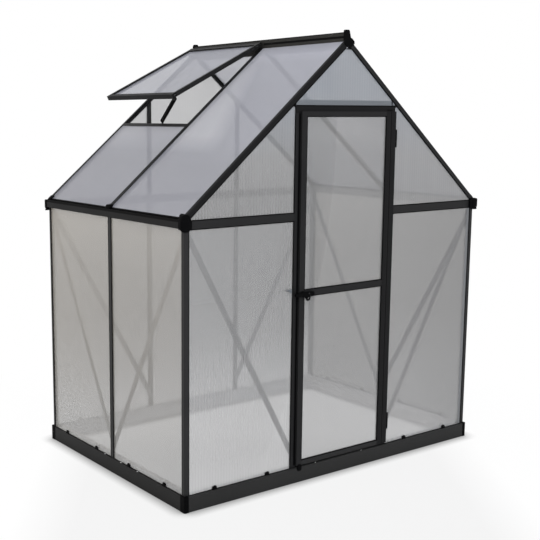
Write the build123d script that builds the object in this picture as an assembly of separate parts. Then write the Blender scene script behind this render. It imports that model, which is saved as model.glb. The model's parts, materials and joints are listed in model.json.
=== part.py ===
from build123d import *
import os
from math import asin, cos, hypot, radians, sin, tan

# Free-standing garden greenhouse. Millimetres, +Z up, the origin on the ground at the middle of the base.
# The gable with the door faces -Y, the slope with the roof vent faces -X.

# Base of folded sheet with plastic corner caps
base_width = 1840.0
base_length = 1242.0
base_height = 73.0
base_sheet = 1.5
base_top_flange = 42.0
base_foot_flange = 30.0
base_end_inset = 10.0
cap_wall = 2.0
cap_front_leg = 22.0
cap_side_leg = 34.0
cap_round = 7.0
anchor_hole_radius = 4.5
anchor_spacing = 1200.0
anchor_from_edge = 18.0

# Frame of slotted profiles that hold the panels
side_ledge = 7.0
gable_ledge = 12.5
flange = 2.0
panel_thickness = 4.0
panel_play = 0.3
fit_gap = 0.3
edge_gap = 0.5
corner_leg = 25.0
corner_side_leg = 19.0
corner_chamfer = 3.0
post_width = 26.0
post_web = 4.6
rear_post_centre = 302.0

# Eaves
eave_z = 1231.0
eave_rail_height = 39.0
eave_rail_web = 5.0
eave_slot_depth = 19.0
eave_beam_lift = 5.0
gutter_width = 19.7
gutter_wall = 2.0
gutter_floor_lift = 8.5
gutter_lip_height = 27.0
eave_cap_depth = 11.0
eave_cap_rear_depth = 5.0
eave_cap_tongue_depth = 5.0
eave_cap_edge = 2.0
eave_cap_sleeve = 12.0
eave_cap_top = 46.0
eave_cap_hood_start = 8.5
eave_cap_hood_end = 37.5
eave_cap_hood_reach = 13.0
eave_cap_slant_lap = 2.0
eave_cap_spigot_step = 3.0
eave_cap_wall = 2.0

# Roof
roof_pitch = 40.0
roof_rise_at_eave = 52.0
roof_overhang = 3.0
rafter_gable_leg = 24.5
rafter_roof_leg = 18.0
edge_strip_lap = 7.0
edge_strip_wall = 1.5
rafter_foot_reach = 2.0
mid_rafter_stem_width = 12.0
mid_rafter_stem_depth = 15.4
ridge_half = 12.0
ridge_rise = 26.0
ridge_web_half = 5.0
ridge_drop = 49.0
ridge_lip_reach = 26.0
ridge_cap_depth = 4.0
ridge_cap_hood = 24.0
ridge_cap_rise = 37.5
ridge_cap_bevel = 4.0

# Doorway
jamb_width = 38.0
jamb_slot_depth = 15.0
doorway_width = 550.0
head_z = 1712.0
head_height = 34.0
head_slot_depth = 16.0
head_end_reach = 8.0
head_tab_height = 7.0
threshold_height = 5.0
threshold_depth = 34.0

# Braces and bolts
brace_width = 27.0
brace_thickness = 3.0
brace_top_drop = 19.0
brace_foot_lift = 57.0
brace_end_margin = 10.0
bolt_shank_radius = 3.0
bolt_hole_radius = 3.3
bolt_head_radius = 5.5
bolt_head_height = 4.0
bolt_inset = 7.0

# Panel clips on the base
clip_length = 24.0
clip_depth = 4.5
clip_height = 14.0
clip_top = 2.5
clip_offset = 150.0
foot_clip_half = 16.0
foot_clip_lap = 14.0
foot_clip_wall = 2.0
foot_clip_low = 22.0

# Door
door_front_flange = 3.2
door_back_gap = 1.5
door_left_lap = 9.0
door_stile_width = 31.5
door_right_inset = 30.5
hinge_stile_width = 31.0
hinge_stile_groove = 3.0
door_foot_gap = 12.0
door_head_lap = 8.0
door_top_rail_height = 23.0
door_mid_rail_z = 884.0
door_mid_rail_height = 33.0
door_bottom_rail_height = 23.0
door_slot_depth = 8.0

# Door hinges
hinge_axis_offset = 6.5
knuckle_radius = 5.5
hinge_pin_radius = 2.2
running_fit = 0.05
pin_head_radius = 4.2
pin_head_height = 2.0
hinge_length = 85.0
hinge_low_inset = 69.0
hinge_high_inset = 84.0
leaf_thickness = 1.2
leaf_reach = 30.0
knuckle_web = 2.4
knuckle_gap = 0.4

# Door handle
spindle_radius = 4.0
spindle_inset = 18.0
handle_lift = 13.0
handle_plate_radius = 14.0
handle_plate_thickness = 3.0
lever_thickness = 11.0
lever_left = 49.0
lever_right = 62.0
lever_half_height = 11.0
lever_tip_half_height = 5.5
eye_offset_x = 26.5
eye_offset_z = -19.0
eye_radius = 11.0
eye_thickness = 4.0
eye_root = 30.0
eye_hole_radius = 4.5
inner_lever_length = 84.0
inner_lever_half_height = 5.8
inner_lever_tip_half_height = 4.0
inner_lever_thickness = 7.0
keeper_length = 78.0
keeper_rise = 24.0
keeper_height = 19.0
keeper_tip_height = 4.0
keeper_depth = 9.0

# Roof vent
vent_open = 14.0
vent_hinge_rise = 10.0
bead_radius = 4.0
bead_fit = 0.08
channel_wall = 2.4
channel_gap = 0.6
hinge_bar_web = 3.0
mouth_half_angle = 50.0
vent_flange = 8.2
vent_length = 600.0
vent_front_lap = 12.5
vent_stile_width = 14.0
vent_stile_slot_depth = 7.0
vent_top_rail_start = 5.0
vent_top_rail_bevel = 4.0
vent_face_rise = 5.0
vent_top_rail_width = 24.0
vent_bottom_rail_width = 24.0
vent_slot_depth = 12.0
vent_drip_drop = 18.0
vent_drip_width = 3.0
sill_lap = 6.4
sill_width = 20.0
sill_web = 6.0

# Vent stay
stay_lug_front = 22.0
stay_lug_width = 22.0
stay_lug_drop = 20.0
stay_lug_thickness = 8.0
stay_lug_lap = 4.0
stay_pivot_drop = 28.0
stay_half_width = 10.5
stay_thickness = 3.0
stay_gap = 0.4
stay_length = 231.5
stay_sill_clear = 1.0
stay_pin_radius = 3.0
stay_pin_head_radius = 5.5
stay_pin_head = 2.0

# Values that follow from the sizes above
slot = panel_thickness + 2 * panel_play
profile_depth = 2 * flange + slot
inner_flange_at = flange + slot
panel_at = flange + panel_play
side_x = base_width / 2 - side_ledge
gable_y = base_length / 2 - gable_ledge
base_top = base_height - cap_wall
base_side_x = base_width / 2 - cap_wall
base_gable_y = base_length / 2 - cap_wall
beam_low = eave_z + eave_beam_lift
pitch = radians(roof_pitch)
apex_z = eave_z + roof_rise_at_eave + side_x * tan(pitch)
panel_bottom = base_top + fit_gap
jamb_inner_x = doorway_width / 2
jamb_outer_x = jamb_inner_x + jamb_width
jamb_web_x = jamb_outer_x - jamb_slot_depth
core_clear = profile_depth + edge_gap
rail_web_low = eave_z + (eave_rail_height - eave_rail_web) / 2
rail_web_high = rail_web_low + eave_rail_web
gable_panel_top_cut = apex_z - ridge_drop - edge_gap
brace_plane = profile_depth + fit_gap
brace_top_z = eave_z - brace_top_drop
brace_foot_z = base_top + brace_foot_lift


def prism(points, direction):
    """Flat outline of 3-D points pushed along a vector."""
    outline = Wire.make_polygon([Vector(*point) for point in points], close=True)
    return Solid.extrude(Face(outline), Vector(*direction))


def block(x0, x1, y0, y1, z0, z1):
    """Box between two corners."""
    return Solid.make_box(x1 - x0, y1 - y0, z1 - z0, Plane((x0, y0, z0)))


def rod(radius, start, direction, length):
    """Round bar from a start point along a direction."""
    return Solid.make_cylinder(radius, length, Plane(origin=start, z_dir=direction))


def along_x(outline, x0, x1):
    """Outline of (y, z) points pushed along X."""
    return prism([(x0, y, z) for y, z in outline], (x1 - x0, 0, 0))


def along_y(outline, y0, y1):
    """Outline of (x, z) points pushed along Y."""
    return prism([(x, y0, z) for x, z in outline], (0, y1 - y0, 0))


def along_z(outline, z0, z1):
    """Outline of (x, y) points pushed along Z."""
    return prism([(x, y, z0) for x, y in outline], (0, 0, z1 - z0))


def single(shape):
    """The one solid of a cut or joined shape."""
    return shape.solids()[0]


def roof_point(side, t, y, n):
    """Point of a roof slope: t down the slope from the apex, n out of the outer roof plane."""
    return (side * (t * cos(pitch) + n * sin(pitch)), y, apex_z - t * sin(pitch) + n * cos(pitch))


def roof_z(x, n):
    """Height over x of the plane n outside the outer roof plane."""
    return apex_z - abs(x) * tan(pitch) + n / cos(pitch)


def slope_x(z, n):
    """Distance from the middle at which the plane n outside the outer roof plane has the height z."""
    return (apex_z + n / cos(pitch) - z) / tan(pitch)


def corner_section(leg_a, leg_b):
    """Corner profile: two slots at a right angle round a solid core, outer edge chamfered."""
    d = profile_depth
    i = inner_flange_at
    f = flange
    return [
        (corner_chamfer, 0), (leg_a, 0), (leg_a, f), (d, f), (d, i), (leg_a, i), (leg_a, d), (d, d),
        (d, leg_b), (i, leg_b), (i, d), (f, d), (f, leg_b), (0, leg_b), (0, corner_chamfer),
    ]


def double_section(width, web):
    """Profile with a slot on both sides: (across, depth) points centred on the web."""
    h = width / 2
    w = web / 2
    f = flange
    i = inner_flange_at
    d = profile_depth
    right = [(h, 0), (h, f), (w, f), (w, i), (h, i), (h, d)]
    return right + [(-u, v) for u, v in reversed(right)]


def single_section(start, web_end, end, front, slot_front, slot_back, back):
    """Profile solid from start to web_end and slotted from there to end: (across, depth) points."""
    return [
        (start, front), (end, front), (end, slot_front), (web_end, slot_front),
        (web_end, slot_back), (end, slot_back), (end, back), (start, back),
    ]


parts = {}


def keep(name, *solids):
    """File one named node of one or more solids."""
    parts[name] = solids[0] if len(solids) == 1 else Compound(list(solids))


# Base rails: channels open to the inside, with anchor holes in the feet of the front and rear rails
def base_section(outer, inward):
    """Channel section: (across, z) points from the outer face inward."""
    s = base_sheet
    across = [
        (0, 0), (base_foot_flange, 0), (base_foot_flange, s), (s, s),
        (s, base_top - s), (base_top_flange, base_top - s), (base_top_flange, base_top), (0, base_top),
    ]
    return [(outer + inward * a, z) for a, z in across]


rail_half_x = base_side_x - base_end_inset
rail_half_y = base_gable_y - base_top_flange - fit_gap
for name, face in (("base_front", -1), ("base_rear", 1)):
    rail = along_x(base_section(face * base_gable_y, -face), -rail_half_x, rail_half_x)
    for x in (-anchor_spacing / 2, anchor_spacing / 2):
        start = (x, face * (base_gable_y - anchor_from_edge), 0)
        rail = single(rail - rod(anchor_hole_radius, start, (0, 0, 1), base_sheet))
    keep(name, rail)


def side_rail(face):
    """Channel under a side wall; its web runs on past the flanges, into the corner caps."""
    channel = along_y(base_section(face * base_side_x, -face), -rail_half_y, rail_half_y)
    web_half = base_gable_y - base_end_inset
    xs = sorted((face * base_side_x, face * (base_side_x - base_sheet)))
    return single(channel + block(xs[0], xs[1], -web_half, web_half, 0, base_top))


keep("base_sides", side_rail(-1), side_rail(1))


def base_cap(sx, sy):
    """Corner cap: two legs round the base corner and a narrow lid outside the corner post."""
    def corner_box(ox, oy, ix, iy, z0, z1):
        xs = sorted((sx * ox, sx * ix))
        ys = sorted((sy * oy, sy * iy))
        return block(xs[0], xs[1], ys[0], ys[1], z0, z1)
    half_x = base_width / 2
    half_y = base_length / 2
    cap = corner_box(half_x, half_y, half_x - cap_front_leg, half_y - cap_side_leg, 0, base_height)
    corner_edges = [e for e in cap.edges().filter_by(Axis.Z) if abs(e.center().X) > half_x - 1]
    cap = cap.fillet(cap_round, [e for e in corner_edges if abs(e.center().Y) > half_y - 1])
    cap = cap - corner_box(base_side_x - base_end_inset, base_gable_y, 0, 0, 0, base_top)
    cap = single(cap) - corner_box(base_side_x, base_gable_y - base_end_inset, 0, 0, 0, base_top)
    cap = single(cap) - corner_box(side_x + fit_gap, gable_y + fit_gap, 0, 0, base_top, base_height)
    return single(cap)


keep("base_corner_caps", *[base_cap(sx, sy) for sx in (-1, 1) for sy in (-1, 1)])

# Posts
def corner_post(sx, sy):
    """Post with the slots of a side wall and of a gable wall; the side leg reaches up to the eave beam."""
    legs = corner_section(corner_leg, corner_side_leg)
    section = [(sx * (side_x - u), sy * (gable_y - v)) for u, v in legs]
    xs = sorted((sx * (side_x - profile_depth), sx * (side_x - corner_leg)))
    above_leg = block(xs[0], xs[1], -base_length, base_length, eave_z, beam_low)
    return single(along_z(section, base_top, beam_low) - above_leg)


def mid_post(sx):
    """Post in the middle of a side wall."""
    section = [(sx * (side_x - v), u) for u, v in double_section(post_width, post_web)]
    return along_z(section, base_top, beam_low)


def rear_post(sx):
    """Post of the rear gable, cut on the slope just under the rafter."""
    section = [(sx * rear_post_centre + u, gable_y - v) for u, v in double_section(post_width, post_web)]
    inner = rear_post_centre - post_width
    outer = rear_post_centre + post_width
    limit = -rafter_gable_leg - edge_gap
    below = along_y(
        [(sx * inner, base_top), (sx * outer, base_top), (sx * outer, roof_z(outer, limit)),
         (sx * inner, roof_z(inner, limit))],
        0, gable_y,
    )
    return single(along_z(section, base_top, apex_z) & below)


keep("corner_post_front_left", corner_post(-1, -1))
keep("corner_post_front_right", corner_post(1, -1))
keep("corner_posts_rear", corner_post(-1, 1), corner_post(1, 1))
keep("mid_posts", mid_post(-1), mid_post(1))
keep("rear_posts", rear_post(-1), rear_post(1))

# Door jambs, door head and threshold
frame_depths = (-gable_y, flange - gable_y, inner_flange_at - gable_y, profile_depth - gable_y)
jamb_outline = single_section(jamb_inner_x, jamb_web_x, jamb_outer_x, *frame_depths)
for name, sx in (("door_jamb_left", -1), ("door_jamb_right", 1)):
    keep(name, along_z([(sx * x, y) for x, y in jamb_outline], base_top, head_z))
head_top = head_z + head_height
head_half = jamb_outer_x + head_end_reach
head_outline = single_section(head_z, head_top - head_slot_depth, head_top, *frame_depths)
head = along_x([(y, z) for z, y in head_outline], -head_half, head_half)
head_limit = -rafter_gable_leg - edge_gap
limit_x = slope_x(head_z, head_limit)
head_mask = along_y(
    [(-limit_x, head_z), (limit_x, head_z), (slope_x(head_top, head_limit), head_top),
     (-slope_x(head_top, head_limit), head_top)],
    -gable_y, profile_depth - gable_y,
)
head = single(head & head_mask)
for sx in (-1, 1):
    xs = sorted((sx * jamb_outer_x, sx * side_x))
    head = single(head - block(xs[0], xs[1], -gable_y, 0, head_z, head_top - head_tab_height))
keep("door_head", head)
threshold = block(
    -jamb_inner_x + fit_gap, jamb_inner_x - fit_gap, -gable_y, threshold_depth - gable_y,
    base_top, base_top + threshold_height,
)
keep("threshold", threshold)

# Eave beams with the gutter trough outside and the slot of the side panels below
beam_top = roof_z(side_x, -panel_at - panel_thickness) - edge_gap
gutter_floor = eave_z + gutter_floor_lift
gutter_lip = gutter_floor + gutter_lip_height
eave_slot_top = eave_z + eave_slot_depth
beam_outline = [
    (profile_depth, beam_low), (profile_depth, beam_top), (0, beam_top), (0, gutter_floor + gutter_wall),
    (gutter_wall - gutter_width, gutter_floor + gutter_wall), (gutter_wall - gutter_width, gutter_lip),
    (-gutter_width, gutter_lip), (-gutter_width, gutter_floor), (0, gutter_floor), (0, beam_low),
    (flange, beam_low), (flange, eave_slot_top), (inner_flange_at, eave_slot_top),
    (inner_flange_at, beam_low),
]
for name, sx in (("gutter_left", -1), ("gutter_right", 1)):
    keep(name, along_y([(sx * (side_x - p), z) for p, z in beam_outline], -gable_y, gable_y))

# Eave corner caps: outlines of (outward, z) points from the frame corner at the underside of the eave beam
sleeve_inner = gutter_width + fit_gap
sleeve_outer = sleeve_inner + eave_cap_wall
lip_clear = gutter_lip - eave_z + fit_gap


def roof_line(q, rise):
    """Point over the outer roof plane, q outside the side wall."""
    return (q, roof_z(side_x + q, 0) - eave_z + fit_gap + rise)


eave_cap_outline = [
    (-34, 1), (-17, -2), (17, -2), (sleeve_outer, 8), (sleeve_outer, 43), (sleeve_outer - 3, eave_cap_top),
    (-6, eave_cap_top), (-12, 49), (-21, 49), (-29, 41), (-34, 35),
]
eave_cap_sleeve_outline = [
    roof_line(-14, 0), roof_line(7, 0), (9, lip_clear), (sleeve_inner, lip_clear), (sleeve_inner, 3),
    (sleeve_outer, 3), (sleeve_outer, 43), (sleeve_outer - 3, eave_cap_top),
    (eave_cap_hood_reach, eave_cap_top), roof_line(5, 6.5), roof_line(-10, 6.5), roof_line(-14, 3),
]
eave_cap_tongue = [(-16, -8), (-2, -8), (-2, -2), (-16, -2)]
eave_cap_spigot = [(-3, -10), (20, -10), (20, -2), (-3, -2)]


def eave_cap(sx, sy):
    """Faceted cap over the gutter end with a hood over the roof corner; each gutter drains at one end."""
    face_y = gable_y + fit_gap
    depth = eave_cap_depth if sy < 0 else eave_cap_rear_depth

    def plate(outline, start, end):
        points = [(sx * (side_x + q), eave_z + z) for q, z in outline]
        return along_y(points, sy * start, sy * end)

    body = plate(eave_cap_outline, face_y, face_y + depth)
    front = body.faces().sort_by(Axis.Y)[0 if sy < 0 else -1]
    body = single(body.chamfer(eave_cap_edge, None, front.edges()))
    sleeve = plate(eave_cap_sleeve_outline, gable_y - eave_cap_hood_end, face_y + fit_gap)
    notch = [
        (-side_x, eave_cap_top), (eave_cap_hood_reach, eave_cap_top),
        (eave_cap_hood_reach, apex_z), (-side_x, apex_z),
    ]
    sleeve = single(sleeve - plate(notch, gable_y - eave_cap_hood_start, face_y + depth))
    slant = [
        (sleeve_outer, eave_cap_sleeve), (sleeve_outer, eave_cap_hood_end),
        (-eave_cap_slant_lap, eave_cap_hood_end),
    ]
    corner = [(sx * (side_x + q), sy * (gable_y - v)) for q, v in slant]
    body = single(body + single(sleeve - along_z(corner, eave_z, apex_z)))
    if sx != sy:
        return single(body + plate(eave_cap_spigot, face_y, face_y + depth - eave_cap_spigot_step))
    return single(body + plate(eave_cap_tongue, face_y, face_y + eave_cap_tongue_depth))


keep("eave_corner_caps", *[eave_cap(sx, sy) for sx in (-1, 1) for sy in (-1, 1)])

# Eave rails across the gables
rail_outline = [(z, v) for z, v in double_section(eave_rail_height, eave_rail_web)]
rail_middle = eave_z + eave_rail_height / 2


def eave_rail(sy, x0, x1):
    """Rail with a slot below and above, between two uprights."""
    return along_x([(sy * (gable_y - v), rail_middle + z) for z, v in rail_outline], x0, x1)


rail_outer = side_x - profile_depth - fit_gap
rail_inner = jamb_outer_x + fit_gap
keep("front_rails", eave_rail(-1, -rail_outer, -rail_inner), eave_rail(-1, rail_inner, rail_outer))
rear_rail_outer = rear_post_centre + post_width / 2 + fit_gap
rear_rail_inner = rear_post_centre - post_width / 2 - fit_gap
keep(
    "rear_rails",
    eave_rail(1, -rail_outer, -rear_rail_outer),
    eave_rail(1, -rear_rail_inner, rear_rail_inner),
    eave_rail(1, rear_rail_outer, rail_outer),
)

# Rafters
slope_length = (side_x + rafter_gable_leg) / cos(pitch)
rafter_top_x = ridge_half + fit_gap
rafter_foot_z = eave_z + eave_rail_height + fit_gap


def trimmed(sx, solid):
    """Rafter cut upright at the ridge and past the eave, its foot cut flat just over the eave beam."""
    xs = sorted((sx * rafter_top_x, sx * (side_x + rafter_foot_reach)))
    bar = single(solid & block(xs[0], xs[1], -base_length, base_length, 0, 2 * apex_z))
    xs = sorted((sx * rail_outer, sx * base_width))
    return single(bar - block(xs[0], xs[1], -base_length, base_length, 0, beam_top + fit_gap))


def slope_bar(sx, section, t0, t1):
    """Section of (y, n) points pushed down a roof slope."""
    down = (sx * cos(pitch) * (t1 - t0), 0, -sin(pitch) * (t1 - t0))
    return prism([roof_point(sx, t0, y, n) for y, n in section], down)


gable_section = corner_section(rafter_gable_leg, rafter_roof_leg)
stem_half = mid_rafter_stem_width / 2
stem_end = -profile_depth - mid_rafter_stem_depth


def gable_rafter(sx, sy):
    """Rafter with the slots of a gable wall and of a roof slope."""
    section = [(sy * (gable_y - v), -u) for u, v in gable_section]
    bar = slope_bar(sx, section, 0, slope_length)
    bar = single(bar & block(-base_width, base_width, -gable_y, gable_y, rafter_foot_z, apex_z))
    return trimmed(sx, bar)


def mid_rafter(sx):
    """Rafter between two roof panels, with a stiffening stem below."""
    section = [(y, -n) for y, n in double_section(post_width, post_web)]
    bar = slope_bar(sx, section, 0, slope_length)
    stem_top = -profile_depth
    stem = [(-stem_half, stem_top), (stem_half, stem_top), (stem_half, stem_end), (-stem_half, stem_end)]
    bar = single(bar + slope_bar(sx, stem, 0, slope_length))
    return trimmed(sx, bar)


keep("gable_rafter_front_left", gable_rafter(-1, -1))
keep("gable_rafter_front_right", gable_rafter(1, -1))
keep("gable_rafters_rear", gable_rafter(-1, 1), gable_rafter(1, 1))
keep("mid_rafters", mid_rafter(-1), mid_rafter(1))

# Ridge beam with ledges under the roof panels, notched where the middle rafters come in
ridge_half_outline = [
    (ridge_half, apex_z + ridge_rise), (ridge_half, roof_z(ridge_half, -inner_flange_at)),
    (ridge_lip_reach, roof_z(ridge_lip_reach, -inner_flange_at)),
    (ridge_lip_reach, roof_z(ridge_lip_reach, -profile_depth)),
    (ridge_web_half, roof_z(ridge_web_half, -profile_depth)), (ridge_web_half, apex_z - ridge_drop),
]
ridge_end = gable_y - ridge_cap_hood - fit_gap
ridge_outline = ridge_half_outline + [(-x, z) for x, z in reversed(ridge_half_outline)]
ridge = along_y(ridge_outline, -ridge_end, ridge_end)
mid_notch = post_width / 2 + fit_gap
for sx in (-1, 1):
    xs = sorted((sx * ridge_half, sx * 2 * ridge_lip_reach))
    ridge = single(ridge - block(xs[0], xs[1], -mid_notch, mid_notch, 0, 2 * apex_z))
keep("ridge_beam", ridge)

# Ridge end caps: half outline of (x, z above the apex) points, side outline of (outward, z) points
ridge_cap_half = [
    (ridge_half - ridge_cap_bevel, ridge_cap_rise), (ridge_half, ridge_cap_rise - ridge_cap_bevel),
    (ridge_half, 4), (23, -5), (31, -16), (31, -26), (0, -49),
]
cap_front = fit_gap + ridge_cap_depth
ridge_cap_side = [
    (cap_front, -49), (cap_front, -14), (-10, ridge_cap_rise), (-ridge_cap_hood, ridge_cap_rise),
    (-ridge_cap_hood, -20), (fit_gap, -20), (fit_gap, -49),
]


def ridge_cap(sy):
    """Shield over the top joint of two gable rafters, with a hood that leans back over the ridge end."""
    half = [(x, apex_z + z) for x, z in ridge_cap_half]
    outline = half + [(-x, z) for x, z in reversed(half[:-1])]
    back = gable_y - ridge_cap_hood
    cap = along_y(outline, sy * back, sy * (gable_y + cap_front))
    side = [(sy * (gable_y + v), apex_z + z) for v, z in ridge_cap_side]
    cap = single(cap & along_x(side, -base_width, base_width))
    for sx in (-1, 1):
        xs = sorted((sx * ridge_half, sx * base_width))
        ys = sorted((sy * back, sy * (gable_y + fit_gap)))
        cap = single(cap - block(xs[0], xs[1], ys[0], ys[1], 0, 2 * apex_z))
    return cap


keep("ridge_caps", ridge_cap(-1), ridge_cap(1))

# Braces: flat bars inside the panels, from the top of a corner post to the foot of the next post
bolts = []


def brace(corner_u, foot_u, place, out):
    """Bar between two upright cuts; place maps (along, z, depth) to a point, out is the inward direction."""
    run = hypot(foot_u - corner_u, brace_top_z - brace_foot_z)
    half = brace_width / 2 * run / abs(foot_u - corner_u)
    corners = [
        (corner_u, brace_top_z + half), (foot_u, brace_foot_z + half),
        (foot_u, brace_foot_z - half), (corner_u, brace_top_z - half),
    ]
    bar = prism([place(u, z, 0) for u, z in corners], tuple(brace_thickness * c for c in out))
    step = bolt_inset / abs(foot_u - corner_u)
    for share in (step, 1 - step):
        u = corner_u + share * (foot_u - corner_u)
        z = brace_top_z + share * (brace_foot_z - brace_top_z)
        bar = single(bar - rod(bolt_hole_radius, place(u, z, 0), out, brace_thickness))
        shank = rod(bolt_shank_radius, place(u, z, 0), out, brace_thickness + bolt_head_height)
        head_plane = Plane(origin=place(u, z, brace_thickness), z_dir=out)
        head_face = head_plane * RegularPolygon(bolt_head_radius, 6)
        head = Solid.extrude(head_face.faces()[0], Vector(*out) * bolt_head_height)
        bolts.append(single(shank + head))
    return bar


def gable_place(sy):
    """Point inside a gable wall: u along X."""
    return lambda u, z, depth: (u, sy * (gable_y - brace_plane - depth), z)


def side_place(sx):
    """Point inside a side wall: u along Y."""
    return lambda u, z, depth: (sx * (side_x - brace_plane - depth), u, z)


gable_brace_corner = side_x - corner_leg + brace_end_margin - bolt_inset
side_brace_corner = gable_y - brace_plane
gable_braces = []
side_braces = []
for s in (-1, 1):
    for sy, foot in ((-1, jamb_web_x), (1, rear_post_centre)):
        foot_u = s * (foot - bolt_inset)
        gable_braces.append(brace(s * gable_brace_corner, foot_u, gable_place(sy), (0, -sy, 0)))
    for sx in (-1, 1):
        side_braces.append(brace(s * side_brace_corner, s * fit_gap, side_place(sx), (-sx, 0, 0)))
keep("gable_braces", *gable_braces)
keep("side_braces", *side_braces)
keep("brace_bolts", *bolts)

# Wall panels
side_panel_top = eave_slot_top - edge_gap
gable_panel_top = rail_web_low - edge_gap
side_panel_far = gable_y - core_clear
side_panel_near = post_web / 2 + edge_gap
gable_panel_far = side_x - core_clear


def side_panel(sx, sy):
    """Panel of a side wall between a corner post and the middle post."""
    xs = sorted((sx * (side_x - panel_at), sx * (side_x - panel_at - panel_thickness)))
    ys = sorted((sy * side_panel_near, sy * side_panel_far))
    return block(xs[0], xs[1], ys[0], ys[1], panel_bottom, side_panel_top)


def gable_panel(sy, outline):
    """Panel of a gable wall with an outline of (x, z) points."""
    y0 = sy * (gable_y - panel_at)
    return along_y(outline, y0, y0 - sy * panel_thickness)


def lower_panel(sy, x0, x1):
    """Rectangular gable panel between the base and the eave rail."""
    outline = [(x0, panel_bottom), (x1, panel_bottom), (x1, gable_panel_top), (x0, gable_panel_top)]
    return gable_panel(sy, outline)


upper_bottom = rail_web_high + edge_gap
slope_edge = -core_clear


def upper_panel(sy, sx, top):
    """Gable panel above the eave rail; top holds its (x, z) points from the inner edge to the slope."""
    outline = [(gable_panel_far, upper_bottom), (top[0][0], upper_bottom), *top]
    outline.append((gable_panel_far, roof_z(gable_panel_far, slope_edge)))
    return gable_panel(sy, [(sx * x, z) for x, z in outline])


def peak_panel(sy, bottom, half_bottom):
    """Gable panel under the ridge, cut flat below the ridge beam."""
    top_x = slope_x(gable_panel_top_cut, slope_edge)
    right = [(half_bottom, bottom)]
    if roof_z(half_bottom, slope_edge) > bottom + edge_gap:
        right.append((half_bottom, roof_z(half_bottom, slope_edge)))
    right.append((top_x, gable_panel_top_cut))
    return gable_panel(sy, right + [(-x, z) for x, z in reversed(right)])


front_panel_inner = jamb_web_x + edge_gap
rear_panel_inner = rear_post_centre + post_web / 2 + edge_gap
rear_middle_half = rear_post_centre - post_web / 2 - edge_gap
peak_bottom = head_top - head_slot_depth + edge_gap
beside_head_x = jamb_outer_x + edge_gap
beside_head_top = peak_bottom - edge_gap
front_upper_top = [
    (front_panel_inner, head_z - edge_gap), (beside_head_x, head_z - edge_gap),
    (beside_head_x, beside_head_top), (slope_x(beside_head_top, slope_edge), beside_head_top),
]
rear_upper_top = [(rear_panel_inner, roof_z(rear_panel_inner, slope_edge))]
keep("wall_panels_left", side_panel(-1, -1), side_panel(-1, 1))
keep("wall_panels_right", side_panel(1, -1), side_panel(1, 1))
keep(
    "wall_panels_front",
    lower_panel(-1, -gable_panel_far, -front_panel_inner),
    lower_panel(-1, front_panel_inner, gable_panel_far),
)
keep(
    "wall_panels_rear",
    lower_panel(1, -gable_panel_far, -rear_panel_inner),
    lower_panel(1, -rear_middle_half, rear_middle_half),
    lower_panel(1, rear_panel_inner, gable_panel_far),
)
keep(
    "gable_panels_front",
    upper_panel(-1, -1, front_upper_top),
    upper_panel(-1, 1, front_upper_top),
    peak_panel(-1, peak_bottom, slope_x(peak_bottom, slope_edge)),
)
keep(
    "gable_panels_rear",
    upper_panel(1, -1, rear_upper_top),
    upper_panel(1, 1, rear_upper_top),
    peak_panel(1, upper_bottom, rear_middle_half),
)

# Place of the vent over the roof: its hinge beside the ridge, its sill under its lower edge
channel_radius = bead_radius + bead_fit + channel_wall
vent_hinge_x = -ridge_half - channel_gap - channel_radius
vent_hinge_z = apex_z + vent_hinge_rise
vent_hinge_t = -vent_hinge_x * cos(pitch) - vent_hinge_rise * sin(pitch)
vent_front_y = post_width / 2 - vent_front_lap
vent_rear_y = gable_y
sill_top = vent_hinge_t + vent_length - sill_lap

# Roof panels: the rear left one starts below the vent sill
panel_low_n = -panel_at - panel_thickness
roof_panel_top = (ridge_half + edge_gap - panel_low_n * sin(pitch)) / cos(pitch)
roof_panel_end = (side_x + roof_overhang) / cos(pitch)
sill_web_end = sill_top + sill_web


def roof_panel(sx, sy, t0):
    """Roof panel between a gable rafter and the middle rafter."""
    ys = (sy * side_panel_near, sy * side_panel_far)
    section = [(ys[0], -panel_at), (ys[1], -panel_at), (ys[1], panel_low_n), (ys[0], panel_low_n)]
    return slope_bar(sx, section, t0, roof_panel_end)


keep("roof_panels_left", roof_panel(-1, -1, roof_panel_top), roof_panel(-1, 1, sill_web_end + edge_gap))
keep("roof_panels_right", roof_panel(1, -1, roof_panel_top), roof_panel(1, 1, roof_panel_top))

# Edge strips: angles over the lower edges of the roof panels
strip_low_n = -panel_at
strip_high_n = strip_low_n + edge_strip_wall
strip_end = roof_panel_end + edge_gap
strip_outline = [
    (strip_end - edge_strip_lap, strip_low_n), (strip_end - edge_strip_lap, strip_high_n),
    (strip_end + edge_strip_wall, strip_high_n), (strip_end + edge_strip_wall, panel_low_n),
    (strip_end, panel_low_n), (strip_end, strip_low_n),
]
strip_near = foot_clip_half + fit_gap
strip_far = gable_y - rafter_roof_leg - fit_gap


def edge_strip(sx, sy):
    """Strip of one roof panel."""
    push = (0, sy * (strip_far - strip_near), 0)
    return prism([roof_point(sx, t, sy * strip_near, n) for t, n in strip_outline], push)


keep("roof_edge_strips", *[edge_strip(sx, sy) for sx in (-1, 1) for sy in (-1, 1)])

# Vent sill: slotted bar over the top edge of the lower roof panel
sill_outline = single_section(
    sill_top, sill_web_end, sill_top + sill_width, 0, -flange, -inner_flange_at, -profile_depth
)
sill_y0 = post_width / 2 + fit_gap
sill_y1 = gable_y - rafter_roof_leg - fit_gap
keep("vent_sill", prism([roof_point(-1, t, sill_y0, n) for t, n in sill_outline], (0, sill_y1 - sill_y0, 0)))

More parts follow.
